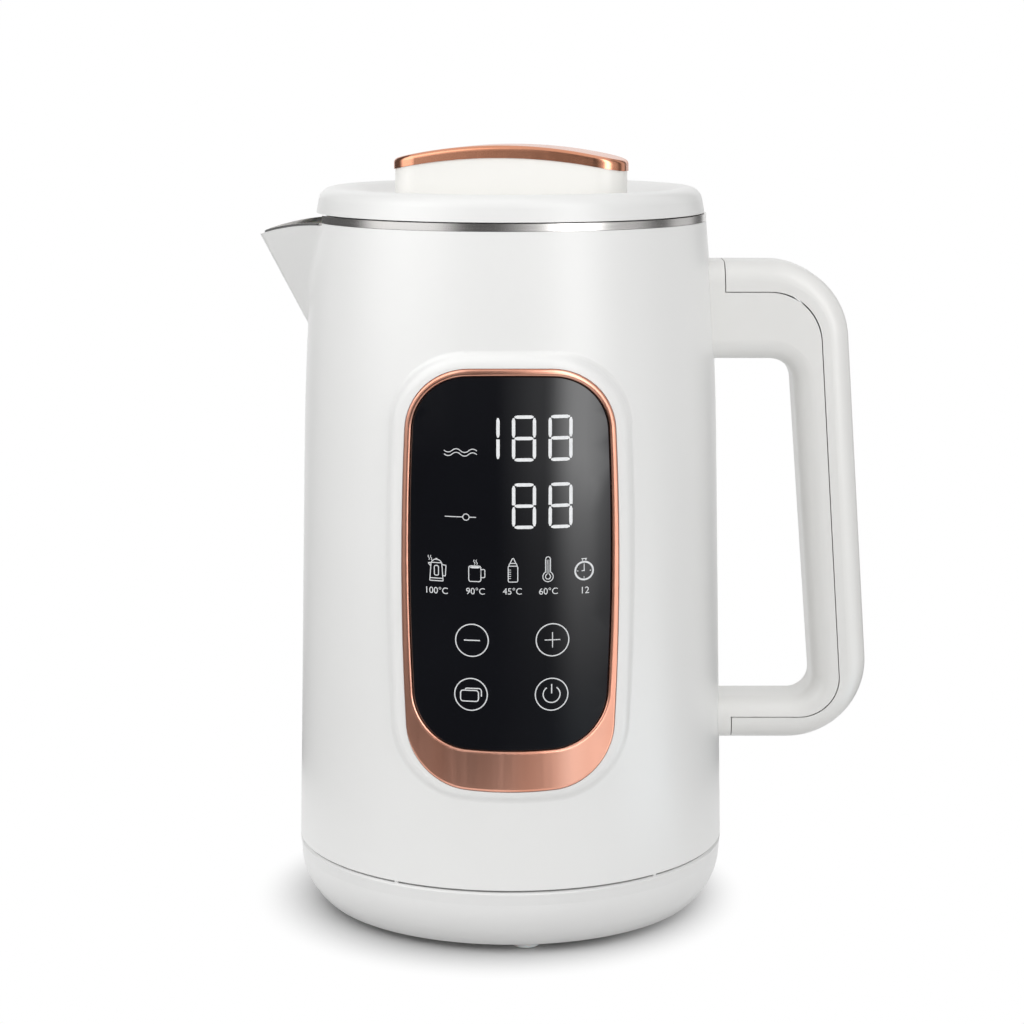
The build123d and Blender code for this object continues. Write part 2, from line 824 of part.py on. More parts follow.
def handle_cover_block(growth):
    # The outer strip of the loop, from the seam outwards, grown by the seam's gap for the cut
    top = handle_top - cover_drop - growth
    low = handle_low + cover_rise + growth
    far = handle_outer[1] + handle_half_depth
    with BuildPart() as block:
        with BuildSketch(Plane.XZ):
            with BuildLine():
                Polyline(
                    (cover_start[0] - growth, handle_top + handle_half_depth),
                    (far, handle_top + handle_half_depth),
                    (far, handle_low - handle_half_depth),
                    (cover_start[1] - growth, handle_low - handle_half_depth),
                    close=True,
                )
            make_face()
            with BuildLine():
                FilletPolyline(
                    (0, top),
                    (cover_outer[0] - growth, top),
                    (cover_outer[1] - growth, low),
                    (0, low),
                    radius=[0, cover_corners[0], cover_corners[1], 0],
                    close=True,
                )
            make_face(mode=Mode.SUBTRACT)
        extrude(amount=2 * handle_half_depth, both=True)
    return block.part


cover_block = handle_cover_block(0)
cover_clearance = handle_cover_block(cover_seam)

# Inner half of the handle, screwed to the body from inside
with BuildPart() as handle_grip:
    add(handle_loop.part)
    add(cover_clearance, mode=Mode.SUBTRACT)
    for place in handle_screw_planes:
        with BuildSketch(place):
            Circle(screw_radius + screw_play)
        extrude(amount=handle_screw_length + seat_play, mode=Mode.SUBTRACT)
handle_grip.part.label = "handle_grip"
export_step(handle_grip.part, "parts/handle_grip.step")

# Outer half of the handle, a strip that clips on
with BuildPart() as handle_cover:
    add(handle_loop.part)
    add(cover_block, mode=Mode.INTERSECT)
handle_cover.part.label = "handle_cover"
export_step(handle_cover.part, "parts/handle_cover.step")

handle_screws = screws(handle_screw_planes, handle_screw_length)
handle_screws.label = "handle_screws"
export_step(handle_screws, "parts/handle_screws.step")

# Metal-coloured frame of the display, with a deep chin below the glass
with BuildPart() as panel_frame:
    add(frame_block)
    add(panel_solid(0), mode=Mode.INTERSECT)
    add(panel_solid(frame_depth), mode=Mode.SUBTRACT)
    add(glass_opening, mode=Mode.SUBTRACT)
    fillet(panel_frame.faces().sort_by(Axis.Y)[0].edges(), frame_edge)
panel_frame.part.label = "panel_frame"
export_step(panel_frame.part, "parts/panel_frame.step")

# Black glass, set a little below the frame
with BuildPart() as panel_glass:
    add(glass_block)
    add(panel_solid(glass_set), mode=Mode.INTERSECT)
    add(panel_solid(glass_set + glass_thickness), mode=Mode.SUBTRACT)
    chamfer(panel_glass.faces().sort_by(Axis.Y)[0].edges(), glass_edge)
panel_glass.part.label = "panel_glass"
export_step(panel_glass.part, "parts/panel_glass.step")

# Posts of the display tray, which carry the display board
post_column = 2 * tray_wall - display_board_width / 2
post_places = [(post_column, row) for row in digit_rows] + [(key_centre, row) for row in key_rows]
with BuildPart() as tray_posts:
    with BuildSketch(Plane.XZ.offset(display_front)):
        with Locations(post_places):
            Circle(tray_wall)
    extrude(amount=body_radius)
    add(panel_bed, mode=Mode.INTERSECT)

# Tray in the shell's window, which holds the display board behind the glass
with BuildPart() as display_tray:
    add(window_block(-seat_play, display_front))
    add(panel_bed, mode=Mode.INTERSECT)
    with BuildSketch(Plane.XZ.offset(display_front)) as openings:
        for row in digit_rows:
            with Locations((digit_centre, row)):
                Rectangle(digit_width + 2 * seat_play, digit_height + 2 * seat_play)
        with Locations((0, icon_row)):
            Rectangle(icon_width + 2 * seat_play, icon_height + 2 * seat_play)
        with Locations([(column, row) for column in key_columns for row in key_rows]):
            Circle(key_pad_radius + seat_play)
    extrude(amount=body_radius - display_front, mode=Mode.SUBTRACT)
    add(tray_hollow, mode=Mode.SUBTRACT)
    add(tray_posts.part)
display_tray.part.label = "display_tray"
export_step(display_tray.part, "parts/display_tray.step")

# Display board with its digit modules, icon light guide and touch pads
with BuildPart() as display_board:
    with BuildSketch(Plane.XZ.offset(display_board_offset)):
        with Locations((0, glass_middle)):
            RectangleRounded(display_board_width, display_board_height, board_corner)
    extrude(amount=display_board_thickness)
display_board.part.label = "display_board"
export_step(display_board.part, "parts/display_board.step")

with BuildPart() as digit_modules:
    with BuildSketch(Plane.XZ.offset(display_front)):
        for row in digit_rows:
            with Locations((digit_centre, row)):
                Rectangle(digit_width, digit_height)
    extrude(amount=digit_depth)
    chamfer(digit_modules.edges().filter_by(Axis.Y), board_corner / 2)
digit_modules.part.label = "digit_modules"
export_step(digit_modules.part, "parts/digit_modules.step")

with BuildPart() as icon_guide:
    with BuildSketch(Plane.XZ.offset(display_front)):
        with Locations((0, icon_row)):
            RectangleRounded(icon_width, icon_height, board_corner)
    extrude(amount=icon_depth)
icon_guide.part.label = "icon_guide"
export_step(icon_guide.part, "parts/icon_guide.step")

with BuildPart() as touch_pads:
    with BuildSketch(Plane.XZ.offset(display_front)):
        with Locations([(column, row) for column in key_columns for row in key_rows]):
            Circle(key_pad_radius)
    extrude(amount=body_radius)
    add(panel_solid(glass_set + glass_thickness + seat_play), mode=Mode.INTERSECT)
touch_pads.part.label = "touch_pads"
export_step(touch_pads.part, "parts/touch_pads.step")

# Flat cable from the display board down to the control board
with BuildPart() as display_cable:
    cable_y = cable_thickness / 2 - display_board_offset
    cable_top = display_low + cable_width
    landing_y = -board_offset - board_depth / 4
    with BuildLine(Plane.YZ):
        FilletPolyline(
            (cable_y, cable_top),
            (cable_y, board_top + cable_step),
            (landing_y, board_top + cable_step),
            (landing_y, board_top),
            radius=cable_bend,
        )
    with BuildSketch(Plane((0, cable_y, cable_top), x_dir=(1, 0, 0), z_dir=(0, 0, -1))):
        Rectangle(cable_width, cable_thickness)
    sweep()
display_cable.part.label = "display_cable"
export_step(display_cable.part, "parts/display_cable.step")

# Bottom cover of the jug: screw wells under the studs and posts for the control board
with BuildPart() as bottom_cover:
    with BuildSketch(Plane.XY.offset(cover_low)):
        Circle(body_radius - body_wall - cover_play)
        Circle(socket_radius + seat_play, mode=Mode.SUBTRACT)
    extrude(amount=cover_thickness)
    with BuildSketch(Plane.XY.offset(cover_low)):
        with PolarLocations(stud_ring, stud_count, stud_turn):
            Circle(screw_head_radius + base_wall)
    extrude(amount=screw_head_height + cover_thickness)
    with BuildSketch(Plane.XY.offset(cover_low)):
        with PolarLocations(stud_ring, stud_count, stud_turn):
            Circle(screw_head_radius + seat_play)
    extrude(amount=screw_head_height, mode=Mode.SUBTRACT)
    with BuildSketch(Plane.XY.offset(cover_low)):
        with PolarLocations(stud_ring, stud_count, stud_turn):
            Circle(screw_radius + screw_play)
    extrude(amount=screw_head_height + cover_thickness, mode=Mode.SUBTRACT)
    with BuildSketch(Plane.XY.offset(cover_top)):
        with Locations((0, -board_offset)):
            with GridLocations(board_screw_pitch[0], board_screw_pitch[1], 2, 2):
                Circle(screw_radius + screw_boss_wall)
                Circle(screw_radius + screw_play, mode=Mode.SUBTRACT)
    extrude(amount=board_height)
bottom_cover.part.label = "bottom_cover"
export_step(bottom_cover.part, "parts/bottom_cover.step")

bottom_screws = screws(stud_planes, screw_length)
bottom_screws.label = "bottom_screws"
export_step(bottom_screws, "parts/bottom_screws.step")

# Studs welded under the vessel, which the bottom screws pull on
with BuildPart() as vessel_studs:
    stud_low = cover_top + screw_head_height
    with BuildSketch(Plane.XY.offset(stud_low)):
        with PolarLocations(stud_ring, stud_count, stud_turn):
            Circle(stud_radius)
    extrude(amount=vessel_low + vessel_corner - stud_low)
    add(vessel_outer, mode=Mode.SUBTRACT)
    with BuildSketch(Plane.XY.offset(stud_low)):
        with PolarLocations(stud_ring, stud_count, stud_turn):
            Circle(screw_radius + screw_play)
    extrude(amount=screw_length, mode=Mode.SUBTRACT)
vessel_studs.part.label = "vessel_studs"
export_step(vessel_studs.part, "parts/vessel_studs.step")

# Heater plate with a ring-shaped bed for the tube element
element_z = heater_low - element_radius
element_start = (360 - element_arc) / 2
element_plane = Plane.XZ.rotated((0, 0, element_start))
with BuildPart() as heater_plate:
    with BuildSketch(Plane.XY.offset(heater_low)):
        Circle(heater_radius)
    extrude(amount=heater_thickness)
    with BuildSketch(element_plane):
        with Locations((element_ring, heater_low)):
            Rectangle(
                2 * (element_radius + element_wall),
                element_bed,
                align=(Align.CENTER, Align.MAX),
            )
    revolve(axis=Axis.Z, revolution_arc=element_arc)
    with BuildSketch(element_plane):
        with Locations((element_ring, element_z)):
            Circle(element_radius + screw_play)
    revolve(axis=Axis.Z, revolution_arc=element_arc, mode=Mode.SUBTRACT)
    with BuildSketch(Plane.XY.offset(heater_low)):
        Circle(probe_radius + seat_play)
    extrude(amount=heater_thickness, mode=Mode.SUBTRACT)
heater_plate.part.label = "heater_plate"
export_step(heater_plate.part, "parts/heater_plate.step")

# Tube element: an open ring with a terminal pin at each end
with BuildPart() as heating_element:
    with BuildSketch(element_plane):
        with Locations((element_ring, element_z)):
            Circle(element_radius)
    revolve(axis=Axis.Z, revolution_arc=element_arc)
    with BuildSketch(Plane.XY.offset(element_z)):
        for angle in (element_start + element_pin_inset, -element_start - element_pin_inset):
            with Locations(polar(element_ring, angle)[:2]):
                Circle(element_pin_radius)
    extrude(amount=-element_radius - element_pin_length)
heating_element.part.label = "heating_element"
export_step(heating_element.part, "parts/heating_element.step")

# Two disc thermostats against the heater plate, with flat terminals
with BuildPart() as thermal_cutouts:
    with BuildSketch(Plane.XY.offset(heater_low)):
        with Locations((0, -cutout_offset), (0, cutout_offset)):
            Circle(cutout_radius)
    extrude(amount=-cutout_height)
    with BuildSketch(Plane.XY.offset(heater_low - cutout_height / 2)):
        with Locations((0, -cutout_offset), (0, cutout_offset)):
            with GridLocations(2 * cutout_radius, 0, 2, 1):
                Rectangle(tab_length, tab_width)
    extrude(amount=-contact_thickness)
thermal_cutouts.part.label = "thermal_cutouts"
export_step(thermal_cutouts.part, "parts/thermal_cutouts.step")

with BuildPart() as temperature_probe:
    with BuildSketch(Plane.XY.offset(vessel_low)):
        Circle(probe_radius)
    extrude(amount=-probe_length)
    fillet(temperature_probe.edges().group_by(Axis.Z)[0], probe_radius / 2)
temperature_probe.part.label = "temperature_probe"
export_step(temperature_probe.part, "parts/temperature_probe.step")

# Socket in the jug's underside, which drops over the connector at any angle
with BuildPart() as jug_socket:
    with BuildSketch(Plane.XZ):
        with BuildLine():
            Polyline(
                (socket_bore, cover_low),
                (socket_radius, cover_low),
                (socket_radius, cover_top),
                (socket_radius + socket_flange, cover_top),
                (socket_radius + socket_flange, cover_top + socket_flange_height),
                (socket_radius, cover_top + socket_flange_height),
                (socket_radius, socket_top),
                (0, socket_top),
                (0, socket_ceiling),
                (socket_bore, socket_ceiling),
                close=True,
            )
        make_face()
    revolve(axis=Axis.Z)
    chamfer(
        jug_socket.edges().group_by(Axis.Z)[0].sort_by(SortBy.RADIUS)[0], connector_edge
    )
    fillet(jug_socket.edges().group_by(Axis.Z)[-1], connector_edge)
jug_socket.part.label = "jug_socket"
export_step(jug_socket.part, "parts/jug_socket.step")

# Contacts of the socket: a pin, two rings, and flat terminals at the side
with BuildPart() as socket_contacts:
    with BuildSketch(Plane.XY.offset(socket_ceiling)):
        for ring in reversed(contact_ring_radii):
            Circle(ring + contact_thickness / 2)
            Circle(ring - contact_thickness / 2, mode=Mode.SUBTRACT)
        Circle(contact_pin_radius)
    extrude(amount=-contact_length)
    with BuildSketch(Plane.XY.offset(socket_top - tab_width)):
        with PolarLocations(socket_radius + tab_length / 2, tab_count, tab_turn):
            Rectangle(tab_length, tab_width)
    extrude(amount=contact_thickness)
    fillet(socket_contacts.edges().group_by(Axis.Z)[0].sort_by(SortBy.RADIUS)[0], contact_thickness)
socket_contacts.part.label = "socket_contacts"
export_step(socket_contacts.part, "parts/socket_contacts.step")

# Control board and what stands on it
with BuildPart() as control_board:
    with BuildSketch(Plane.XY.offset(board_low)):
        with Locations((0, -board_offset)):
            RectangleRounded(board_length, board_depth, board_corner)
            with GridLocations(board_screw_pitch[0], board_screw_pitch[1], 2, 2):
                Circle(screw_radius + seat_play, mode=Mode.SUBTRACT)
    extrude(amount=board_thickness)
control_board.part.label = "control_board"
export_step(control_board.part, "parts/control_board.step")

with BuildPart() as power_relay:
    with BuildSketch(Plane.XY.offset(board_top)):
        with Locations((-relay_size[0] / 2 - board_part_gap, board_row)):
            Rectangle(relay_size[0], relay_size[1])
    extrude(amount=relay_size[2])
    fillet(power_relay.edges().group_by(Axis.Z)[-1], component_edge)
power_relay.part.label = "power_relay"
export_step(power_relay.part, "parts/power_relay.step")

with BuildPart() as transformer:
    with BuildSketch(Plane.XY.offset(board_top)):
        with Locations((transformer_size[0] / 2 + board_part_gap, board_row)):
            Rectangle(transformer_size[0], transformer_size[1])
    extrude(amount=transformer_size[2])
    fillet(transformer.edges().filter_by(Axis.Z), 2 * component_edge)
transformer.part.label = "transformer"
export_step(transformer.part, "parts/transformer.step")

with BuildPart() as capacitors:
    with BuildSketch(Plane.XY.offset(board_top)):
        with Locations((0, capacitor_radius + board_margin - board_offset - board_depth / 2)):
            with GridLocations(cable_width + 3 * capacitor_radius, 0, 2, 1):
                Circle(capacitor_radius)
    extrude(amount=capacitor_height)
    fillet(capacitors.edges().group_by(Axis.Z)[-1], component_edge)
capacitors.part.label = "capacitors"
export_step(capacitors.part, "parts/capacitors.step")

board_screws = screws(board_screw_planes, board_height)
board_screws.label = "board_screws"
export_step(board_screws, "parts/board_screws.step")

# Lid: a crest round a shallow dish, hollow below
with BuildPart() as lid_cover:
    crest_low = lid_top - lid_crest_height
    with BuildSketch(Plane.XZ):
        with BuildLine():
            side = Line((lid_radius, lid_low), (lid_radius - lid_draft, crest_low))
            crest = TangentArc(side @ 1, (lid_crest_radius, lid_top), tangent=side % 1)
            dish = Spline(
                crest @ 1, (lid_dish_radius, dish_z), tangents=[(-1, 0), (-1, 0)]
            )
            Polyline(
                dish @ 1,
                (0, dish_z),
                (0, dish_z - lid_wall),
                (lid_dish_radius, dish_z - lid_wall),
                (lid_crest_radius, lid_top - lid_crest_wall),
                (lid_radius - lid_draft - lid_wall, crest_low),
                (lid_radius - lid_wall, lid_low),
                side @ 0,
            )
        make_face()
    revolve(axis=Axis.Z)
    for place in lid_screw_planes:
        with BuildSketch(place):
            Circle(screw_radius + seat_play)
        extrude(amount=lid_height, mode=Mode.SUBTRACT)
lid_cover.part.label = "lid_cover"
export_step(lid_cover.part, "parts/lid_cover.step")

# Plug: a shallow cup under the lid, with a groove for the seal
with BuildPart() as lid_plug:
    plug_low = lid_low - plug_depth
    plug_top = dish_z - lid_wall
    seal_top = lid_low - seal_top_gap
    with BuildSketch(Plane.XY.offset(plug_low)):
        Circle(plug_radius)
    extrude(amount=plug_top - plug_low)
    fillet(lid_plug.edges().group_by(Axis.Z)[0], plug_corner)
    with BuildSketch(Plane.XY.offset(plug_low + plug_wall)):
        Circle(plug_inner)
    extrude(amount=plug_top - plug_low, mode=Mode.SUBTRACT)
    with BuildSketch(Plane.XY.offset(seal_top - seal_height - seat_play)):
        Circle(mouth_radius)
        Circle(plug_radius - seal_groove, mode=Mode.SUBTRACT)
    extrude(amount=seal_height + 2 * seat_play, mode=Mode.SUBTRACT)
    with BuildSketch(Plane.XY.offset(plug_low)):
        with Locations([(place.origin.X, place.origin.Y) for place in lid_screw_planes]):
            Circle(screw_radius + screw_boss_wall)
    extrude(amount=plug_top - plug_low)
    for place in lid_screw_planes:
        with BuildSketch(place):
            Circle(screw_radius + seat_play)
        extrude(amount=lid_height, mode=Mode.SUBTRACT)
        with BuildSketch(place):
            Circle(screw_head_radius + seat_play)
        extrude(amount=-plug_depth, mode=Mode.SUBTRACT)
lid_plug.part.label = "lid_plug"
export_step(lid_plug.part, "parts/lid_plug.step")

# Silicone seal with two lips, which shows pale behind the spout
with BuildPart() as lid_seal:
    inner = plug_radius - seal_groove + seat_play
    outer = mouth_radius - lift_play
    low = seal_top - seal_height
    with BuildSketch(Plane.XZ):
        with BuildLine():
            Polyline(
                (inner, low),
                (outer - seal_lip, low),
                (outer, low + seal_lip),
                (outer - seal_lip, low + 2 * seal_lip),
                (outer - seal_lip, seal_top - 2 * seal_lip),
                (outer, seal_top - seal_lip),
                (outer, seal_top),
                (inner, seal_top),
                close=True,
            )
        make_face()
    revolve(axis=Axis.Z)
lid_seal.part.label = "lid_seal"
export_step(lid_seal.part, "parts/lid_seal.step")

# Knob: a fin with an arched top, and the trim that caps it
knob_top = dish_z + knob_end_height
with BuildPart() as lid_knob:
    half = knob_length / 2
    with BuildSketch(knob_plane):
        with BuildLine():
            arch = ThreePointArc((-half, knob_top), (0, knob_top + knob_arch), (half, knob_top))
            Polyline(arch @ 1, (half, dish_z), (-half, dish_z), arch @ 0)
        make_face()
    extrude(amount=knob_thickness / 2, both=True)
    fillet(lid_knob.edges().filter_by(Axis.Z), knob_corner)
    for place in lid_screw_planes:
        with BuildSketch(place):
            Circle(screw_radius + screw_play)
        extrude(amount=lid_screw_length, mode=Mode.SUBTRACT)
lid_knob.part.label = "lid_knob"
export_step(lid_knob.part, "parts/lid_knob.step")

with BuildPart() as knob_trim:
    half = knob_length / 2 + trim_overhang
    trim_top = knob_top + trim_end_height
    trim_arch = knob_arch + trim_arch_gain
    with BuildSketch(knob_plane):
        with BuildLine():
            low_arch = ThreePointArc((-half, knob_top), (0, knob_top + knob_arch), (half, knob_top))
            high_arch = ThreePointArc((-half, trim_top), (0, trim_top + trim_arch), (half, trim_top))
            Line(low_arch @ 0, high_arch @ 0)
            Line(low_arch @ 1, high_arch @ 1)
        make_face()
    extrude(amount=knob_thickness / 2 + trim_overhang, both=True)
    fillet(knob_trim.edges().filter_by(Axis.Z), knob_corner + trim_overhang)
    fillet(knob_trim.faces().sort_by(Axis.Z)[-1].edges(), trim_round)
knob_trim.part.label = "knob_trim"
export_step(knob_trim.part, "parts/knob_trim.step")

lid_screws = screws(lid_screw_planes, lid_screw_length)
lid_screws.label = "lid_screws"
export_step(lid_screws, "parts/lid_screws.step")
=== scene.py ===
import bmesh
import bpy
from math import cos, pi, radians, sin
from mathutils import Matrix, Vector


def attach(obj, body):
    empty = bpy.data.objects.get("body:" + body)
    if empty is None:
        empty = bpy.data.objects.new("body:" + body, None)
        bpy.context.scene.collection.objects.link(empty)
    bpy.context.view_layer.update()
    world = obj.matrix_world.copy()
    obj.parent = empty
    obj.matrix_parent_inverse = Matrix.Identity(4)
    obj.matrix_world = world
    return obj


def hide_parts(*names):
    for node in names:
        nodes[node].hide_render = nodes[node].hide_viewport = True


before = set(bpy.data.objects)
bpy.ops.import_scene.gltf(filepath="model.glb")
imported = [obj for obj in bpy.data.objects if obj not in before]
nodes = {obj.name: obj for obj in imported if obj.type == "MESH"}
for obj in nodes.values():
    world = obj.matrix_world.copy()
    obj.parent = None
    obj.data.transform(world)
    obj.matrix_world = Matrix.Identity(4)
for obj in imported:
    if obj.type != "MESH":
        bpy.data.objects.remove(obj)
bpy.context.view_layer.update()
mm = 0.001
print("frame loaded:", len(nodes), "nodes")


def addMesh(bm, name, material):
    # put a finished mesh into the scene as an object of its own
    holder = bpy.data.objects.new(name, bpy.data.meshes.new(name))
    bm.to_mesh(holder.data)
    bm.free()
    holder.data.materials.append(material)
    bpy.context.collection.objects.link(holder)
    return holder


# camera, at the photograph's place and angle
cameraSpec = {"place": (0.0005, -0.8288, 0.2743), "lens": 89.65, "sensor": 36, "tiltDown": 9.92}


def makeCamera(spec):
    camera = bpy.data.objects.new("camera", bpy.data.cameras.new("camera"))
    camera.data.lens = spec["lens"]
    camera.data.sensor_width = spec["sensor"]
    camera.location = spec["place"]
    camera.rotation_euler = (radians(90 - spec["tiltDown"]), 0, 0)
    bpy.context.collection.objects.link(camera)
    bpy.context.scene.camera = camera


# light: a pale room, five soft boxes, and a dark studio round the camera's side that only reflections show
lightSpec = {
    "roomLevel": 0.58,
    "boxes": {
        "softBoxLeft": {"place": (-1.00, -0.50, 0.60), "size": (0.42, 0.9), "power": 4.7},
        "softBoxRight": {"place": (0.72, -0.90, 0.31), "size": (0.34, 0.56), "power": 3.3},
        "softBoxTop": {"place": (-0.10, -0.30, 1.25), "size": (0.9, 0.7), "power": 1.7},
        "softBoxBack": {"place": (-0.20, 1.40, 0.30), "size": (0.9, 0.6), "power": 1.3},
        "softBoxFront": {"place": (-0.40, -1.10, 1.15), "size": (0.8, 0.6), "power": 2.1},
    },
    "aim": (0.0, 0.0, 0.14),
    # turns are degrees from the camera's side; reach runs from 0 beside the object to 1 at the wall
    "studio": {
        "near": 0.19, "radius": 1.4, "height": 2.4, "span": 150, "lift": 0.001,
        "floorSteps": 14, "wallSteps": 24, "turnSteps": 60,
        "floorTone": 0.08, "wallTone": 0.14, "wallRise": 0.1, "whiteFrom": 1.7,
        "fade": 1.5, "footSoft": 0.12, "endSoft": 0.05,
        "cool": (0.0, 0.20, 0.32), "coolFull": 25, "coolReach": 0.3,
        "plainStrip": {"foot": -1.0, "near": 0.0, "far": 1.0},
        "strips": {
            "right": {"at": 37, "half": 2, "soft": 18, "level": 4.2},
            "rightFill": {"at": 45, "half": 28, "soft": 22, "level": 0.5},
            "rightWall": {"at": 24, "half": 24, "soft": 8, "level": 0.14},
            "rightNear": {"at": 24, "half": 24, "soft": 8, "level": 0.36, "near": 1.0, "far": 0.10},
            "rightFar": {"at": 118, "half": 8, "soft": 12, "level": 0.6},
            "rightChin": {"at": 40, "half": 8, "soft": 14, "level": 0.20, "near": 1.0, "far": 0.10},
            "rightLow": {"at": 68, "half": 12, "soft": 6, "level": 2.0, "near": 1.0, "far": 0.55},
            "left": {"at": -62, "half": 18, "soft": 20, "level": 2.2, "foot": 0.08},
        },
    },
}


def makeLights(spec):
    for name, box in spec["boxes"].items():
        lamp = bpy.data.lights.new(name, "AREA")
        lamp.shape = "RECTANGLE"
        lamp.size, lamp.size_y = box["size"]
        lamp.energy = box["power"]
        holder = bpy.data.objects.new(name, lamp)
        holder.location = box["place"]
        aim = Vector(spec["aim"]) - Vector(box["place"])
        holder.rotation_euler = aim.to_track_quat("-Z", "Y").to_euler()
        holder.visible_glossy = False
        bpy.context.collection.objects.link(holder)


def seenRay(tree):
    # 1 for what the camera, a reflection or clear material sees directly
    rays = tree.nodes.new("ShaderNodeLightPath")
    total = rays.outputs["Is Camera Ray"]
    for kind in ("Is Glossy Ray", "Is Transmission Ray"):
        pick = tree.nodes.new("ShaderNodeMath")
        pick.operation = "MAXIMUM"
        tree.links.new(total, pick.inputs[0])
        tree.links.new(rays.outputs[kind], pick.inputs[1])
        total = pick.outputs[0]
    return total


def makeWorld(spec):
    world = bpy.data.worlds.new("paleRoom")
    world.use_nodes = True
    tree = world.node_tree
    room = tree.nodes["Background"]
    room.inputs["Strength"].default_value = spec["roomLevel"]
    room.inputs["Color"].default_value = (1, 1, 1, 1)
    white = tree.nodes.new("ShaderNodeBackground")
    white.inputs["Color"].default_value = (1, 1, 1, 1)
    mix = tree.nodes.new("ShaderNodeMixShader")
    tree.links.new(seenRay(tree), mix.inputs[0])
    tree.links.new(room.outputs[0], mix.inputs[1])
    tree.links.new(white.outputs[0], mix.inputs[2])
    tree.links.new(mix.outputs[0], tree.nodes["World Output"].inputs["Surface"])
    bpy.context.scene.world = world


def smooth(share):
    share = min(max(share, 0), 1)
    return share * share * (3 - 2 * share)


def studioTone(spec, turn, reach, height):
    # strips of light on dark walls, which fade along the floor towards the object; a strip whose near is 1
    # keeps its level there, one whose far is below 1 lies on the floor alone, and foot is the height on the
    # wall where it starts; beside the object, on the right, the light is a little cooler
    rise = smooth(height / spec["wallRise"])
    tone = spec["floorTone"] + (spec["wallTone"] - spec["floorTone"]) * rise
    for ownValues in spec["strips"].values():
        strip = {**spec["plainStrip"], **ownValues}
        across = 1 - smooth((abs(turn - strip["at"]) - strip["half"]) / strip["soft"])
        up = smooth((height - strip["foot"]) / spec["footSoft"])
        along = strip["near"] + (1 - strip["near"]) * reach ** spec["fade"]
        end = 1 - smooth((reach - strip["far"]) / spec["endSoft"])
        tone += strip["level"] * across * up * along * end
    white = smooth((height - spec["whiteFrom"]) / (spec["height"] - spec["whiteFrom"]))
    tone += (1 - tone) * white
    cool = smooth(turn / spec["coolFull"]) * (1 - smooth(reach / spec["coolReach"]))
    return [tone * (1 + extra * cool) for extra in spec["cool"]]


def makeStudio(spec):
    coat = bpy.data.materials.new("studioTone")
    coat.use_nodes = True
    tree = coat.node_tree
    stored = tree.nodes.new("ShaderNodeAttribute")
    stored.attribute_name = "tone"
    glow = tree.nodes.new("ShaderNodeEmission")
    tree.links.new(stored.outputs["Color"], glow.inputs["Color"])
    tree.links.new(glow.outputs[0], tree.nodes["Material Output"].inputs["Surface"])
    depth = spec["radius"] - spec["near"]
    shares = [step / spec["floorSteps"] for step in range(spec["floorSteps"] + 1)]
    profile = [(spec["near"] + depth * share, spec["lift"], share) for share in shares]
    levels = [spec["height"] * step / spec["wallSteps"] for step in range(1, spec["wallSteps"] + 1)]
    profile += [(spec["radius"], level, 1) for level in levels]
    turns = [spec["span"] * (step / spec["turnSteps"] - 1) for step in range(2 * spec["turnSteps"] + 1)]
    bm = bmesh.new()
    tones = []
    rows = []
    for turn in turns:
        x, y = sin(radians(turn)), -cos(radians(turn))
        rows.append([bm.verts.new((x * radius, y * radius, z)) for radius, z, _ in profile])
        tones += [studioTone(spec, turn, reach, z) for _, z, reach in profile]
    for first, second in zip(rows, rows[1:]):
        for low, high in zip(range(len(profile)), range(1, len(profile))):
            bm.faces.new((first[low], second[low], second[high], first[high]))
    holder = addMesh(bm, "studioWalls", coat)
    layer = holder.data.color_attributes.new("tone", "FLOAT_COLOR", "POINT")
    for spot, tone in zip(layer.data, tones):
        spot.color = (*tone, 1)
    holder.visible_camera = False
    holder.visible_diffuse = False
    holder.visible_shadow = False


floorSpec = {
    "half": 4.0, "drop": 0.0002, "paper": 0.56, "roughness": 0.9, "fadeFrom": 0.058, "fadeTo": 0.088,
    "stretch": (1.06, 1, 1), "shift": (0.004, 0, 0),
}


def makeFloor(spec):
    paper = bpy.data.materials.new("paperSweep")
    paper.use_nodes = True
    tree = paper.node_tree
    shade = tree.nodes["Principled BSDF"]
    shade.inputs["Base Color"].default_value = (spec["paper"],) * 3 + (1,)
    shade.inputs["Roughness"].default_value = spec["roughness"]
    shade.inputs["Specular IOR Level"].default_value = 0.0
    place = tree.nodes.new("ShaderNodeTexCoord")
    shift = tree.nodes.new("ShaderNodeVectorMath")
    shift.operation = "MULTIPLY_ADD"
    shift.inputs[1].default_value = spec["stretch"]
    shift.inputs[2].default_value = spec["shift"]
    tree.links.new(place.outputs["Object"], shift.inputs[0])
    reach = tree.nodes.new("ShaderNodeVectorMath")
    reach.operation = "LENGTH"
    tree.links.new(shift.outputs["Vector"], reach.inputs[0])
    fade = tree.nodes.new("ShaderNodeMapRange")
    fade.interpolation_type = "SMOOTHSTEP"
    fade.inputs["From Min"].default_value = spec["fadeFrom"]
    fade.inputs["From Max"].default_value = spec["fadeTo"]
    tree.links.new(reach.outputs["Value"], fade.inputs["Value"])
    share = tree.nodes.new("ShaderNodeMath")
    share.operation = "MULTIPLY"
    tree.links.new(seenRay(tree), share.inputs[0])
    tree.links.new(fade.outputs["Result"], share.inputs[1])
    far = tree.nodes.new("ShaderNodeEmission")  # plain white, away from the shadow
    mix = tree.nodes.new("ShaderNodeMixShader")
    tree.links.new(share.outputs[0], mix.inputs[0])
    tree.links.new(shade.outputs[0], mix.inputs[1])
    tree.links.new(far.outputs[0], mix.inputs[2])
    tree.links.new(mix.outputs[0], tree.nodes["Material Output"].inputs["Surface"])
    bm = bmesh.new()
    lower = Matrix.Translation((0, 0, -spec["drop"]))
    bmesh.ops.create_grid(bm, x_segments=1, y_segments=1, size=spec["half"], matrix=lower)
    floor = addMesh(bm, "floor", paper)


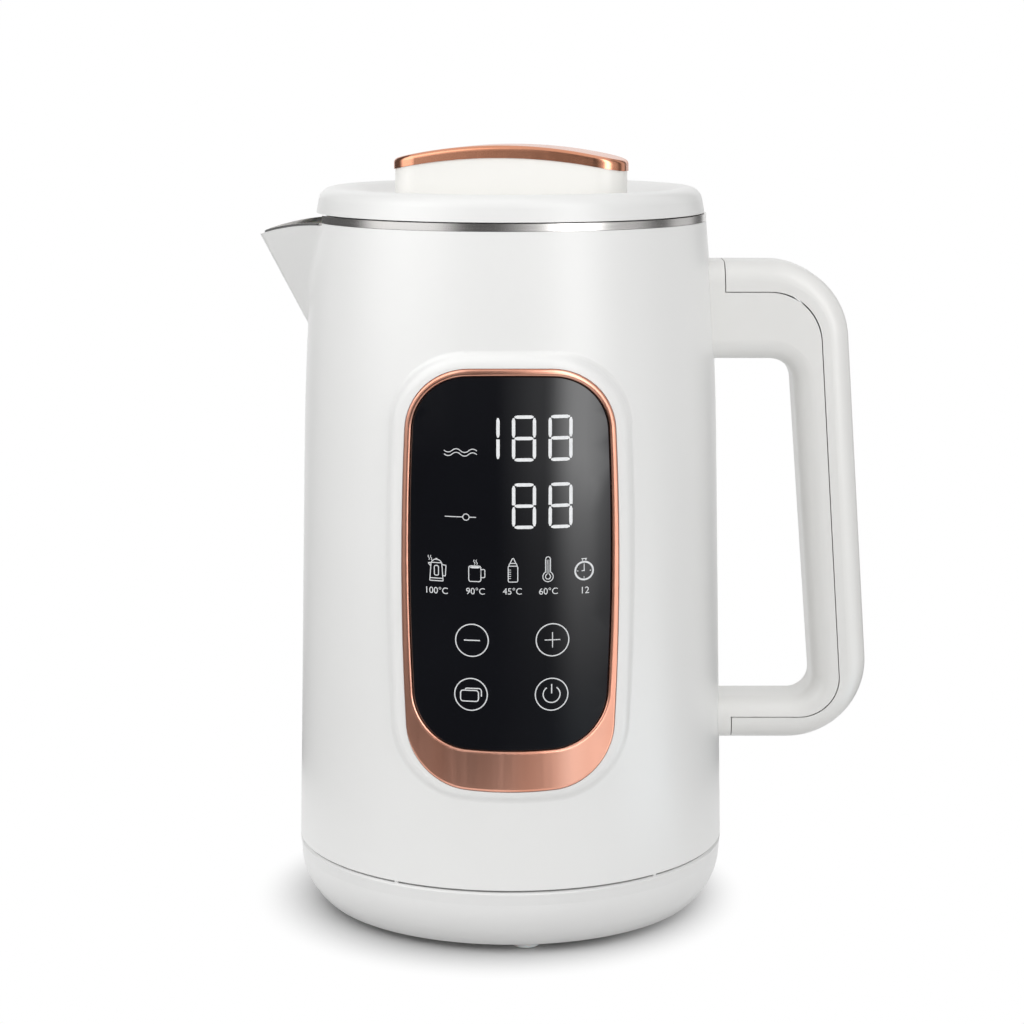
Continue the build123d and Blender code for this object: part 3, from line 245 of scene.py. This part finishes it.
bpy.context.scene.view_settings.view_transform = "Standard"
makeCamera(cameraSpec)
makeLights(lightSpec)
makeWorld(lightSpec)
makeStudio(lightSpec["studio"])
makeFloor(floorSpec)
print("camera, light and floor set")


# materials: each reads Object coordinates, in metres
def newFinish(name, roughness, metallic=0.0):
    finish = bpy.data.materials.new(name)
    finish.use_nodes = True
    shade = finish.node_tree.nodes["Principled BSDF"]
    shade.inputs["Metallic"].default_value = metallic
    shade.inputs["Roughness"].default_value = roughness
    return finish, finish.node_tree, shade


def grain(tree, scale, stretch=(1, 1, 1), detail=3.0):
    # noise over the piece, stretched for brushed or drawn surfaces
    place = tree.nodes.new("ShaderNodeTexCoord")
    turn = tree.nodes.new("ShaderNodeMapping")
    turn.inputs["Scale"].default_value = stretch
    noise = tree.nodes.new("ShaderNodeTexNoise")
    noise.inputs["Scale"].default_value = scale
    noise.inputs["Detail"].default_value = detail
    tree.links.new(place.outputs["Object"], turn.inputs["Vector"])
    tree.links.new(turn.outputs["Vector"], noise.inputs["Vector"])
    return noise.outputs["Fac"]


def tint(tree, shade, factor, low, high):
    # base colour that drifts between two close tones
    ramp = tree.nodes.new("ShaderNodeValToRGB")
    ramp.color_ramp.elements[0].position = 0.3
    ramp.color_ramp.elements[1].position = 0.7
    ramp.color_ramp.elements[0].color = (*low, 1)
    ramp.color_ramp.elements[1].color = (*high, 1)
    tree.links.new(factor, ramp.inputs["Fac"])
    tree.links.new(ramp.outputs["Color"], shade.inputs["Base Color"])


def vary(tree, shade, factor, low, high):
    # roughness that drifts between two values
    span = tree.nodes.new("ShaderNodeMapRange")
    span.inputs["To Min"].default_value = low
    span.inputs["To Max"].default_value = high
    tree.links.new(factor, span.inputs["Value"])
    tree.links.new(span.outputs["Result"], shade.inputs["Roughness"])


def emboss(tree, shade, factor, strength, depth):
    # a fine relief, its depth in metres
    bump = tree.nodes.new("ShaderNodeBump")
    bump.inputs["Strength"].default_value = strength
    bump.inputs["Distance"].default_value = depth
    tree.links.new(factor, bump.inputs["Height"])
    tree.links.new(bump.outputs["Normal"], shade.inputs["Normal"])


def mouldedWhite(name, low, high, rough):
    # white ABS: a slight orange peel under a clear gloss
    finish, tree, shade = newFinish(name, rough)
    tint(tree, shade, grain(tree, scale=14), low, high)
    vary(tree, shade, grain(tree, scale=60), rough - 0.02, rough + 0.03)
    emboss(tree, shade, grain(tree, scale=900, detail=2), strength=0.05, depth=0.00004)
    shade.inputs["Coat Weight"].default_value = 0.2
    shade.inputs["Coat Roughness"].default_value = 0.28
    return finish


def satinCopper():
    # vertical brush lines, with soft bands between
    finish, tree, shade = newFinish("satinCopper", 0.34, 1.0)
    bands = grain(tree, scale=75, stretch=(1, 1, 0.02), detail=1)
    tint(tree, shade, bands, (0.745, 0.345, 0.24), (0.885, 0.465, 0.345))
    vary(tree, shade, grain(tree, scale=700, stretch=(1, 1, 0.03)), 0.28, 0.40)
    lines = grain(tree, scale=2600, stretch=(1, 1, 0.02), detail=2)
    emboss(tree, shade, lines, strength=0.06, depth=0.00003)
    return finish


def polishedCopper():
    finish, tree, shade = newFinish("polishedCopper", 0.20, 1.0)
    tint(tree, shade, grain(tree, scale=25), (0.67, 0.285, 0.17), (0.73, 0.34, 0.215))
    vary(tree, shade, grain(tree, scale=300), 0.15, 0.25)
    return finish


def drawnSteel(name, tone, rough):
    # steel with fine lines round the axis
    finish, tree, shade = newFinish(name, rough, 1.0)
    tint(tree, shade, grain(tree, scale=30), [part * 0.94 for part in tone], tone)
    vary(tree, shade, grain(tree, scale=1200, stretch=(0.03, 0.03, 1)), rough * 0.7, rough * 1.4)
    lines = grain(tree, scale=3000, stretch=(0.02, 0.02, 1), detail=2)
    emboss(tree, shade, lines, strength=0.05, depth=0.00003)
    return finish


def blackGlass():
    finish, tree, shade = newFinish("blackGlass", 0.06)
    tint(tree, shade, grain(tree, scale=20), (0.0030, 0.0033, 0.0052), (0.0044, 0.0048, 0.0070))
    vary(tree, shade, grain(tree, scale=45), 0.03, 0.06)
    return finish


def softRubber(name, low, high, milky=0.0):
    finish, tree, shade = newFinish(name, 0.55)
    tint(tree, shade, grain(tree, scale=90), low, high)
    vary(tree, shade, grain(tree, scale=400), 0.48, 0.62)
    emboss(tree, shade, grain(tree, scale=1500), strength=0.12, depth=0.00005)
    shade.inputs["Subsurface Weight"].default_value = milky
    shade.inputs["Subsurface Scale"].default_value = 0.002
    return finish


def mouldedMatt(name, low, high, rough=0.5):
    # fine spark-eroded texture of hidden mouldings
    finish, tree, shade = newFinish(name, rough)
    tint(tree, shade, grain(tree, scale=70), low, high)
    vary(tree, shade, grain(tree, scale=500), rough - 0.05, rough + 0.07)
    emboss(tree, shade, grain(tree, scale=2200, detail=4), strength=0.25, depth=0.00005)
    return finish


def bareMetal(name, low, high, rough, grainScale=200):
    finish, tree, shade = newFinish(name, rough, 1.0)
    tint(tree, shade, grain(tree, scale=grainScale), low, high)
    vary(tree, shade, grain(tree, scale=grainScale * 4), rough * 0.8, rough * 1.3)
    emboss(tree, shade, grain(tree, scale=grainScale * 8), strength=0.08, depth=0.00004)
    return finish


def circuitBoard():
    # green lacquer with copper tracks under it
    finish, tree, shade = newFinish("circuitBoard", 0.32)
    place = tree.nodes.new("ShaderNodeTexCoord")
    tracks = tree.nodes.new("ShaderNodeTexBrick")
    tracks.inputs["Scale"].default_value = 260
    tracks.inputs["Mortar Size"].default_value = 0.04
    tracks.inputs["Color1"].default_value = (0.012, 0.075, 0.030, 1)
    tracks.inputs["Color2"].default_value = (0.016, 0.095, 0.038, 1)
    tracks.inputs["Mortar"].default_value = (0.040, 0.190, 0.080, 1)
    tree.links.new(place.outputs["Object"], tracks.inputs["Vector"])
    tree.links.new(tracks.outputs["Color"], shade.inputs["Base Color"])
    emboss(tree, shade, tracks.outputs["Fac"], strength=0.2, depth=0.00003)
    vary(tree, shade, grain(tree, scale=300), 0.28, 0.38)
    return finish


def printed(name, low, high, glow):
    finish, tree, shade = newFinish(name, 0.4)
    tint(tree, shade, grain(tree, scale=800), low, high)
    shade.inputs["Emission Color"].default_value = (0.9, 0.93, 1.0, 1)
    shade.inputs["Emission Strength"].default_value = glow
    return finish


finishes = {finish.name: finish for finish in (
    mouldedWhite("bodyWhite", (0.835, 0.835, 0.825), (0.855, 0.855, 0.845), 0.36),
    mouldedWhite("lidWhite", (0.812, 0.812, 0.802), (0.832, 0.832, 0.822), 0.36),
    mouldedWhite("knobWhite", (0.850, 0.845, 0.815), (0.870, 0.862, 0.832), 0.38),
    mouldedWhite("baseWhite", (0.812, 0.812, 0.805), (0.832, 0.832, 0.825), 0.38),
    mouldedWhite("handleWhite", (0.805, 0.800, 0.782), (0.825, 0.820, 0.802), 0.38),
    satinCopper(),
    polishedCopper(),
    drawnSteel("rimSteel", (0.66, 0.645, 0.63), 0.20),
    blackGlass(),
    softRubber("sealSilicone", (0.62, 0.65, 0.60), (0.68, 0.70, 0.65), 0.4),
    softRubber("footRubber", (0.76, 0.76, 0.75), (0.81, 0.81, 0.80), 0.2),
    softRubber("greyRubber", (0.10, 0.10, 0.10), (0.14, 0.14, 0.14)),
    mouldedMatt("paleMoulding", (0.755, 0.755, 0.745), (0.775, 0.775, 0.765), 0.45),
    mouldedMatt("darkMoulding", (0.020, 0.020, 0.022), (0.034, 0.034, 0.036), 0.42),
    bareMetal("contactBrass", (0.62, 0.45, 0.17), (0.70, 0.52, 0.22), 0.25, 400),
    bareMetal("screwSteel", (0.52, 0.52, 0.52), (0.60, 0.60, 0.60), 0.25, 400),
    bareMetal("castAluminium", (0.52, 0.52, 0.53), (0.62, 0.62, 0.63), 0.42, 120),
    drawnSteel("elementSteel", (0.42, 0.40, 0.37), 0.38),
    circuitBoard(),
    mouldedMatt("lightGuide", (0.80, 0.80, 0.77), (0.86, 0.86, 0.83), 0.35),
    mouldedMatt("yellowTape", (0.58, 0.36, 0.03), (0.66, 0.43, 0.05), 0.35),
    mouldedMatt("capacitorSleeve", (0.010, 0.014, 0.045), (0.016, 0.022, 0.060), 0.3),
    mouldedMatt("cableGrey", (0.34, 0.34, 0.35), (0.42, 0.42, 0.43), 0.45),
    printed("printedWhite", (0.78, 0.79, 0.80), (0.86, 0.87, 0.88), 0.04),
    printed("dimPrint", (0.64, 0.65, 0.66), (0.74, 0.75, 0.76), 0.06),
)}
wornBy = {
    "bodyWhite": ["outer_shell"],
    "lidWhite": ["lid_cover"],
    "knobWhite": ["lid_knob"],
    "baseWhite": ["base_shell"],
    "handleWhite": ["handle_grip", "handle_cover"],
    "satinCopper": ["panel_frame"],
    "polishedCopper": ["knob_trim"],
    "rimSteel": ["inner_vessel"],
    "blackGlass": ["panel_glass"],
    "sealSilicone": ["lid_seal"],
    "footRubber": ["base_feet", "cord_gland"],
    "greyRubber": ["rim_gasket", "touch_pads"],
    "paleMoulding": ["base_plate", "bottom_cover", "lid_plug"],
    "darkMoulding": ["base_connector", "jug_socket", "display_tray", "thermal_cutouts", "power_relay"],
    "contactBrass": ["connector_contacts", "socket_contacts"],
    "screwSteel": ["base_screws", "handle_screws", "bottom_screws", "board_screws", "lid_screws",
                   "vessel_studs", "temperature_probe"],
    "castAluminium": ["heater_plate"],
    "elementSteel": ["heating_element"],
    "circuitBoard": ["control_board", "display_board"],
    "lightGuide": ["digit_modules", "icon_guide"],
    "yellowTape": ["transformer"],
    "capacitorSleeve": ["capacitors"],
    "cableGrey": ["display_cable"],
}
for finish, wearers in wornBy.items():
    for wearer in wearers:
        nodes[wearer].material_slots[0].material = finishes[finish]
print("finishes on", sum(len(wearers) for wearers in wornBy.values()), "nodes")


# prints on the glass, drawn flat in millimetres (x to the right, z up) and then laid on the glass
printSpec = {
    "lift": 0.03, "longest": 1.2, "merge": 0.002,
    "column": 0.8, "fewestColumns": 3, "arcStep": 40, "fewestArcSteps": 4,
}


def bar(bm, start, end, width, ends=1.0):
    # a straight stroke; ends below 1 taper it at both tips
    first, last = Vector((start[0], 0, start[1])), Vector((end[0], 0, end[1]))
    length = (last - first).length
    along = (last - first).normalized()
    columns = max(printSpec["fewestColumns"], round(length / printSpec["column"]))
    turn = Matrix((along, (0, 1, 0), along.cross(Vector((0, 1, 0))))).transposed().to_4x4()
    flat = Matrix.Rotation(pi / 2, 4, "X")
    size = Matrix.Diagonal((length, 1, width, 1))
    whole = Matrix.Translation((first + last) / 2) @ turn @ size @ flat
    made = bmesh.ops.create_grid(bm, x_segments=columns, y_segments=2, size=0.5, matrix=whole)
    for vert in made["verts"]:
        if ends < 1 and min((vert.co - first).dot(along), (last - vert.co).dot(along)) < 1e-6:
            tip = first if (vert.co - first).length < (vert.co - last).length else last
            vert.co = tip + (vert.co - tip) * ends


def arc(bm, centre, radius, startDegrees, sweepDegrees, width):
    # a curved stroke: a short radial edge spun round the centre, in steps that follow its length
    hub = Vector((centre[0], 0, centre[1]))
    away = Vector((cos(radians(startDegrees)), 0, sin(radians(startDegrees))))
    inner = bm.verts.new(hub + away * (radius - width / 2))
    outer = bm.verts.new(hub + away * (radius + width / 2))
    edge = bm.edges.new((inner, outer))
    steps = round(abs(sweepDegrees) * max(radius, 1) / printSpec["arcStep"])
    bmesh.ops.spin(
        bm, geom=[inner, outer, edge], cent=hub, axis=(0, -1, 0), angle=radians(sweepDegrees),
        steps=max(printSpec["fewestArcSteps"], steps), use_merge=abs(sweepDegrees) >= 360,
    )


def roundBox(bm, centre, width, height, corner, stroke):
    # outline of a rounded rectangle: four bars and four quarter arcs
    x, z = centre
    wide, tall = width / 2, height / 2
    for level in (tall, -tall):
        bar(bm, (x - wide + corner, z + level), (x + wide - corner, z + level), stroke)
    for side in (-wide, wide):
        bar(bm, (x + side, z - tall + corner), (x + side, z + tall - corner), stroke)
    for turn, right, up in ((0, 1, 1), (90, -1, 1), (180, -1, -1), (270, 1, -1)):
        arc(bm, (x + right * (wide - corner), z + up * (tall - corner)), corner, turn, 90, stroke)


def layOnGlass(bm, name, finish, spec=printSpec):
    # merge, divide what is too long to bend, and drop each vertex on the glass
    glass = nodes["panel_glass"]
    bmesh.ops.remove_doubles(bm, verts=bm.verts, dist=spec["merge"])
    long = [edge for edge in bm.edges if edge.calc_length() > spec["longest"]]
    if long:
        bmesh.ops.subdivide_edges(bm, edges=long, cuts=1, use_grid_fill=True)
    for vert in bm.verts:
        found, spot, normal, _ = glass.ray_cast((vert.co.x * mm, -1, vert.co.z * mm), (0, 1, 0))
        if not found:
            raise SystemExit(name + " lies off the glass")
        vert.co = spot + normal * spec["lift"] * mm
    bmesh.ops.recalc_face_normals(bm, faces=bm.faces)
    inward = sum(face.normal.y * face.calc_area() for face in bm.faces)
    if inward > 0:
        bmesh.ops.reverse_faces(bm, faces=bm.faces)
    piece = addMesh(bm, name, finishes[finish])
    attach(piece, "jug")


digitSpec = {
    "width": 7.3, "height": 14.0, "stroke": 1.02, "gap": 0.28, "tip": 0.45,
    "upper": {"z": 163.8, "eights": (4.12, 15.15), "one": -3.72},
    "lower": {"z": 143.2, "eights": (4.14, 15.22)},
}


def upright(bm, x, z, spec):
    # the two strokes of one side of a digit
    tall, gap = (spec["height"] - spec["stroke"]) / 2, spec["gap"]
    bar(bm, (x, z + gap), (x, z + tall - gap), spec["stroke"], spec["tip"])
    bar(bm, (x, z - tall + gap), (x, z - gap), spec["stroke"], spec["tip"])


def eight(bm, x, z, spec):
    wide, tall = (spec["width"] - spec["stroke"]) / 2, (spec["height"] - spec["stroke"]) / 2
    left, right = x - wide + spec["gap"], x + wide - spec["gap"]
    for level in (-tall, 0, tall):
        bar(bm, (left, z + level), (right, z + level), spec["stroke"], spec["tip"])
    for side in (-wide, wide):
        upright(bm, x + side, z, spec)


for row in ("upper", "lower"):
    bm = bmesh.new()
    place = digitSpec[row]
    for x in place["eights"]:
        eight(bm, x, place["z"], digitSpec)
    if "one" in place:
        upright(bm, place["one"], place["z"], digitSpec)
    layOnGlass(bm, row + "Digits", "printedWhite")
print("digits printed")


# icons, key signs and row signs; their numbers are millimetres from the place that each spec gives
iconSpec = {
    "stroke": 0.27, "thin": 0.189, "bold": 0.54, "tick": 0.216,
    "kettle": (-22.2, 119.6), "mug": (-10.2, 119.9), "bottle": (0.8, 119.9),
    "thermometer": (11.45, 119.8), "clock": (22.5, 122.7),
}


def steam(bm, x, z, stroke):
    # one wisp: an arc that turns into its opposite
    radius, rise = 0.42, 0.73
    arc(bm, (x, z), radius, -60, 120, stroke)
    arc(bm, (x + radius, z + rise), radius, 120, 120, stroke)


def kettleIcon(bm, spec):
    x, z = spec["kettle"]
    stroke = spec["stroke"]
    for start, end in (
        ((-2.4, 0), (1.7, 0)), ((-2.35, 0.8), (1.65, 0.8)), ((-2.0, 5.6), (1.3, 5.6)),
        ((-2.4, 0), (-2.0, 5.6)), ((1.7, 0), (1.3, 5.6)), ((-0.65, 6.85), (-0.05, 6.85)),
        ((-2.0, 5.5), (-2.9, 5.4)), ((-2.9, 5.4), (-2.1, 4.5)),
        ((1.35, 5.1), (2.6, 4.9)), ((2.6, 4.9), (2.4, 1.6)), ((2.4, 1.6), (1.6, 1.7)),
    ):
        bar(bm, (x + start[0], z + start[1]), (x + end[0], z + end[1]), stroke)
    arc(bm, (x - 0.35, z + 4.9), 1.75, 24, 132, stroke)
    roundBox(bm, (x - 0.35, z + 3.2), 1.3, 3.0, 0.45, stroke)
    for side in (-2.9, -2.2):
        steam(bm, x + side, z + 6.7, spec["thin"])


def mugIcon(bm, spec):
    x, z = spec["mug"]
    stroke = spec["stroke"]
    roundBox(bm, (x - 0.6, z + 2.4), 3.7, 4.8, 0.6, stroke)
    bar(bm, (x - 2.1, z + 4.35), (x + 0.9, z + 4.35), 0.55, 0.5)
    roundBox(bm, (x + 1.85, z + 2.5), 1.2, 2.5, 0.4, stroke)
    for side in (-0.95, -0.25):
        steam(bm, x + side, z + 5.6, spec["thin"])


def bottleIcon(bm, spec):
    x, z = spec["bottle"]
    stroke = spec["stroke"]
    roundBox(bm, (x, z + 2.45), 2.9, 4.9, 0.4, stroke)
    for side in (-1, 1):
        bar(bm, (x + side * 1.3, z + 5.0), (x + side * 0.95, z + 5.7), stroke)
        bar(bm, (x + side * 0.85, z + 5.8), (x + side * 0.36, z + 6.9), stroke)
    bar(bm, (x - 1.05, z + 5.75), (x + 1.05, z + 5.75), stroke)
    arc(bm, (x, z + 6.9), 0.36, 0, 180, stroke)
    for mark in range(5):
        level = z + 1.1 + 0.65 * mark
        bar(bm, (x - 1.3, level), (x - 0.6, level), spec["thin"])


def thermometerIcon(bm, spec):
    x, z = spec["thermometer"]
    stroke = spec["stroke"]
    arc(bm, (x, z + 1.6), 1.6, 117, 306, stroke)
    arc(bm, (x, z + 1.6), 0.8, 110, 320, stroke)
    for side in (-1, 1):
        bar(bm, (x + side * 0.74, z + 3.0), (x + side * 0.74, z + 7.0), stroke)
        bar(bm, (x + side * 0.27, z + 2.4), (x + side * 0.27, z + 6.8), spec["thin"])
    arc(bm, (x, z + 7.0), 0.74, 0, 180, stroke)


def clockIcon(bm, spec):
    x, z = spec["clock"]
    stroke = spec["stroke"]
    arc(bm, (x, z), 2.75, 0, 360, spec["bold"])
    bar(bm, (x, z - 0.15), (x, z + 1.7), stroke)
    bar(bm, (x - 0.15, z), (x - 0.8, z), stroke)
    for turn in range(4):
        right, up = cos(turn * pi / 2), sin(turn * pi / 2)
        bar(bm, (x + 1.75 * right, z + 1.75 * up), (x + 2.2 * right, z + 2.2 * up), spec["tick"])
    bar(bm, (x - 0.8, z + 3.75), (x + 0.8, z + 3.75), stroke)
    for side in (-0.5, 0.5):
        bar(bm, (x + side, z + 3.1), (x + side, z + 3.6), stroke)


bm = bmesh.new()
for drawIcon in (kettleIcon, mugIcon, bottleIcon, thermometerIcon, clockIcon):
    drawIcon(bm, iconSpec)
layOnGlass(bm, "icons", "dimPrint")

keySpec = {
    "ring": 5.0, "stroke": 0.34, "thin": 0.272,
    "minus": (-11.72, 101.63), "plus": (12.87, 101.75), "modes": (-12.06, 84.74), "power": (12.63, 84.76),
}


def keySigns(bm, spec):
    stroke, thin = spec["stroke"], spec["thin"]
    for key in ("minus", "plus", "modes", "power"):
        arc(bm, spec[key], spec["ring"], 0, 360, stroke)
    x, z = spec["minus"]
    bar(bm, (x - 2.45, z), (x + 2.45, z), stroke)
    x, z = spec["plus"]
    bar(bm, (x - 2.4, z), (x + 2.4, z), thin)
    bar(bm, (x, z + stroke / 2), (x, z + 2.4), thin)
    bar(bm, (x, z - 2.4), (x, z - stroke / 2), thin)
    x, z = spec["modes"]
    roundBox(bm, (x - 0.45, z - 0.45), 5.5, 3.4, 0.8, stroke)
    bar(bm, (x - 1.2, z + 1.9), (x + 2.4, z + 1.9), stroke)
    arc(bm, (x - 1.2, z + 1.2), 0.7, 90, 60, stroke)
    arc(bm, (x + 2.4, z + 1.1), 0.8, 0, 90, stroke)
    bar(bm, (x + 3.2, z - 0.6), (x + 3.2, z + 1.1), stroke)
    x, z = spec["power"]
    arc(bm, (x, z), 2.6, 126, 288, stroke)
    bar(bm, (x, z + 0.3), (x, z + 3.2), stroke)


bm = bmesh.new()
keySigns(bm, keySpec)
layOnGlass(bm, "keySigns", "dimPrint")

# waves for the water's own reading and a slider for the chosen one, in place of words
signSpec = {
    "stroke": 0.26, "waves": (-15.1, 159.35), "slider": (-15.15, 139.65),
    "half": 1.25, "rise": 0.55, "sweep": 95, "lines": (-0.55, 0.55),
}


def waveSign(bm, spec):
    # two lines of four arcs each, bent down and up in turn
    x, z = spec["waves"]
    half, rise, sweep = spec["half"], spec["rise"], spec["sweep"]
    radius = (half**2 + rise**2) / (2 * rise)
    for line in spec["lines"]:
        for step in range(4):
            way = 1 if step % 2 else -1
            middle = (x + (step - 1.5) * 2 * half, z + line - way * (radius - rise))
            arc(bm, middle, radius, 180 - way * 90 - sweep / 2, sweep, spec["stroke"])


def sliderSign(bm, spec):
    x, z = spec["slider"]
    bar(bm, (x - 4.75, z), (x + 0.65, z), spec["stroke"])
    bar(bm, (x + 2.75, z), (x + 4.75, z), spec["stroke"])
    arc(bm, (x + 1.7, z), 1.0, 0, 360, spec["stroke"])


bm = bmesh.new()
waveSign(bm, signSpec)
sliderSign(bm, signSpec)
layOnGlass(bm, "rowSigns", "dimPrint")

labelSpec = {
    "height": 2.05,
    "places": {
        "100\u00b0C": (-22.6, 115.65), "90\u00b0C": (-10.6, 115.95), "45\u00b0C": (0.65, 116.05),
        "60\u00b0C": (11.6, 115.95), "12": (22.7, 115.65),
    },
}


def label(bm, words, place, spec):
    # a line of type, made a mesh at its own origin and then brought to size and place
    curve = bpy.data.curves.new("label", "FONT")
    curve.body = words
    curve.align_x = "CENTER"
    holder = bpy.data.objects.new("label", curve)
    bpy.context.collection.objects.link(holder)
    flat = bpy.data.meshes.new_from_object(holder.evaluated_get(bpy.context.evaluated_depsgraph_get()))
    bpy.data.objects.remove(holder)
    tall = max(vert.co.y for vert in flat.vertices)
    size = spec["height"] / tall
    first = len(bm.verts)
    bm.from_mesh(flat)
    bm.verts.ensure_lookup_table()
    for vert in bm.verts[first:]:
        vert.co = Vector((place[0] + vert.co.x * size, 0, place[1] + vert.co.y * size))
    bpy.data.meshes.remove(flat)


bm = bmesh.new()
for words, place in labelSpec["places"].items():
    label(bm, words, place, labelSpec)
layOnGlass(bm, "labels", "dimPrint")
print("icons, keys and labels printed")


def skin(bm, first, second):
    # faces between two closed loops of vertices
    for step in range(len(first)):
        after = (step + 1) % len(first)
        bm.faces.new((first[step], first[after], second[after], second[step]))


# dark strip of painted shade under the steel lip of the spout, on the white edge: it stands for the shadow
# gap there, in millimetres and degrees
lipShadeSpec = {
    "hub": (-56.0, 0.0), "turns": (-75, 75), "steps": 90, "far": 60.0,
    "startHeight": 221.5, "above": 300.0, "rounds": 9,
    "wide": 0.7, "tall": 0.42, "sink": 0.05, "stand": 0.35, "finish": "greyRubber",
}


def paintedLipShade(spec):
    # rays towards a hub inside the spout find the steel, and rays from above find the white edge beside it;
    # each height comes from the other ray, so they settle over a few rounds
    steel, white = nodes["inner_vessel"], nodes["outer_shell"]
    hub = Vector((*spec["hub"], 0)) * mm
    startTurn, endTurn = spec["turns"]
    bm = bmesh.new()
    last = None
    for step in range(spec["steps"] + 1):
        turn = radians(startTurn + (endTurn - startTurn) * step / spec["steps"])
        away = Vector((-cos(turn), sin(turn), 0))
        height = spec["startHeight"] * mm
        for _ in range(spec["rounds"]):
            start = hub + away * spec["far"] * mm + Vector((0, 0, height))
            found, spot, normal, _ = steel.ray_cast(start, -away)
            if not found:
                raise SystemExit("no steel lip found for the gasket")
            out = Vector((normal.x, normal.y, 0)).normalized()
            over = spot + out * spec["wide"] / 2 * mm
            found, land, _, _ = white.ray_cast((over.x, over.y, spec["above"] * mm), (0, 0, -1))
            if not found:
                raise SystemExit("no white edge found under the gasket")
            height = land.z + spec["stand"] * mm
        low, high = land.z - spec["sink"] * mm, land.z + spec["tall"] * mm
        near, far = spot - out * spec["sink"] * mm, spot + out * spec["wide"] * mm
        corners = ((near, low), (far, low), (far, high), (near, high))
        ring = [bm.verts.new((side.x, side.y, level)) for side, level in corners]
        if last:
            skin(bm, last, ring)
        else:
            bm.faces.new(ring)
        last = ring
    bm.faces.new(last)
    bmesh.ops.recalc_face_normals(bm, faces=bm.faces)
    # the strip is painted shade for the gap under the steel lip, not a part of the kettle
    piece = addMesh(bm, "paintedLipShade", finishes[spec["finish"]])
    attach(piece, "jug")


paintedLipShade(lipShadeSpec)
print("gasket laid at the spout")


# screws that can be seen from below: pan heads with a cross recess, in place of the plain solids
screwSpec = {
    "head": 2.95, "height": 2.0, "shank": 1.45, "flat": 1.95, "dome": 0.55, "bend": (0.9, 0.35),
    "cross": (1.45, 0.34), "foot": (0.75, 0.26), "depth": 1.05, "segments": 28,
    "groups": {"base_screws": "power_base", "bottom_screws": "jug", "lid_screws": "lid"},
}


def islandBoxes(node):
    # corners of each loose solid of a node
    bm = bmesh.new()
    bm.from_mesh(nodes[node].data)
    bmesh.ops.remove_doubles(bm, verts=bm.verts, dist=1e-6)
    left = set(bm.verts)
    boxes = []
    while left:
        group, front = set(), [left.pop()]
        while front:
            vert = front.pop()
            group.add(vert)
            near = {edge.other_vert(vert) for edge in vert.link_edges} & left
            left -= near
            front += near
        axes = list(zip(*(vert.co for vert in group)))
        boxes.append((Vector([min(axis) for axis in axes]), Vector([max(axis) for axis in axes])))
    bm.free()
    return boxes


def crossOutline(bm, size, z):
    long, wide = size
    corners = [(long, -wide), (long, wide), (wide, wide), (wide, long), (-wide, long), (-wide, wide)]
    corners += [(-x, -y) for x, y in corners]
    return [bm.verts.new((x, y, z)) for x, y in corners]


def ringOutline(bm, radius, z, segments):
    angles = [2 * pi * step / segments for step in range(segments)]
    return [bm.verts.new((radius * cos(angle), radius * sin(angle), z)) for angle in angles]


def crossScrew(bm, spec, place, length):
    # head down, from its flat at z = 0 to the shank's end; the recess goes up into the head
    made = bmesh.new()
    bendRadius, bendHeight = spec["bend"]
    outline = (
        (spec["flat"], 0), (spec["head"] * bendRadius, spec["dome"] * bendHeight),
        (spec["head"], spec["dome"]), (spec["head"], spec["height"]),
        (spec["shank"], spec["height"]), (spec["shank"], length),
    )
    rings = [ringOutline(made, radius, z, spec["segments"]) for radius, z in outline]
    for first, second in zip(rings, rings[1:]):
        skin(made, first, second)
    made.faces.new(rings[-1])
    mouth = crossOutline(made, spec["cross"], 0)
    floor = crossOutline(made, spec["foot"], spec["depth"])
    skin(made, mouth, floor)
    made.faces.new(floor)
    openEdges = [edge for edge in made.edges if len(edge.link_faces) == 1]
    bmesh.ops.triangle_fill(made, use_beauty=True, edges=openEdges)
    bmesh.ops.recalc_face_normals(made, faces=made.faces)
    bmesh.ops.transform(made, matrix=Matrix.Translation(place) @ Matrix.Scale(mm, 4), verts=made.verts)
    flat = bpy.data.meshes.new("screw")
    made.to_mesh(flat)
    made.free()
    bm.from_mesh(flat)
    bpy.data.meshes.remove(flat)


for group, body in screwSpec["groups"].items():
    bm = bmesh.new()
    for low, high in islandBoxes(group):
        foot = ((low.x + high.x) / 2, (low.y + high.y) / 2, low.z)
        crossScrew(bm, screwSpec, foot, (high.z - low.z) / mm)
    piece = addMesh(bm, group + ".cross", finishes["screwSteel"])
    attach(piece, body)
    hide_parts(group)
print("screws made")
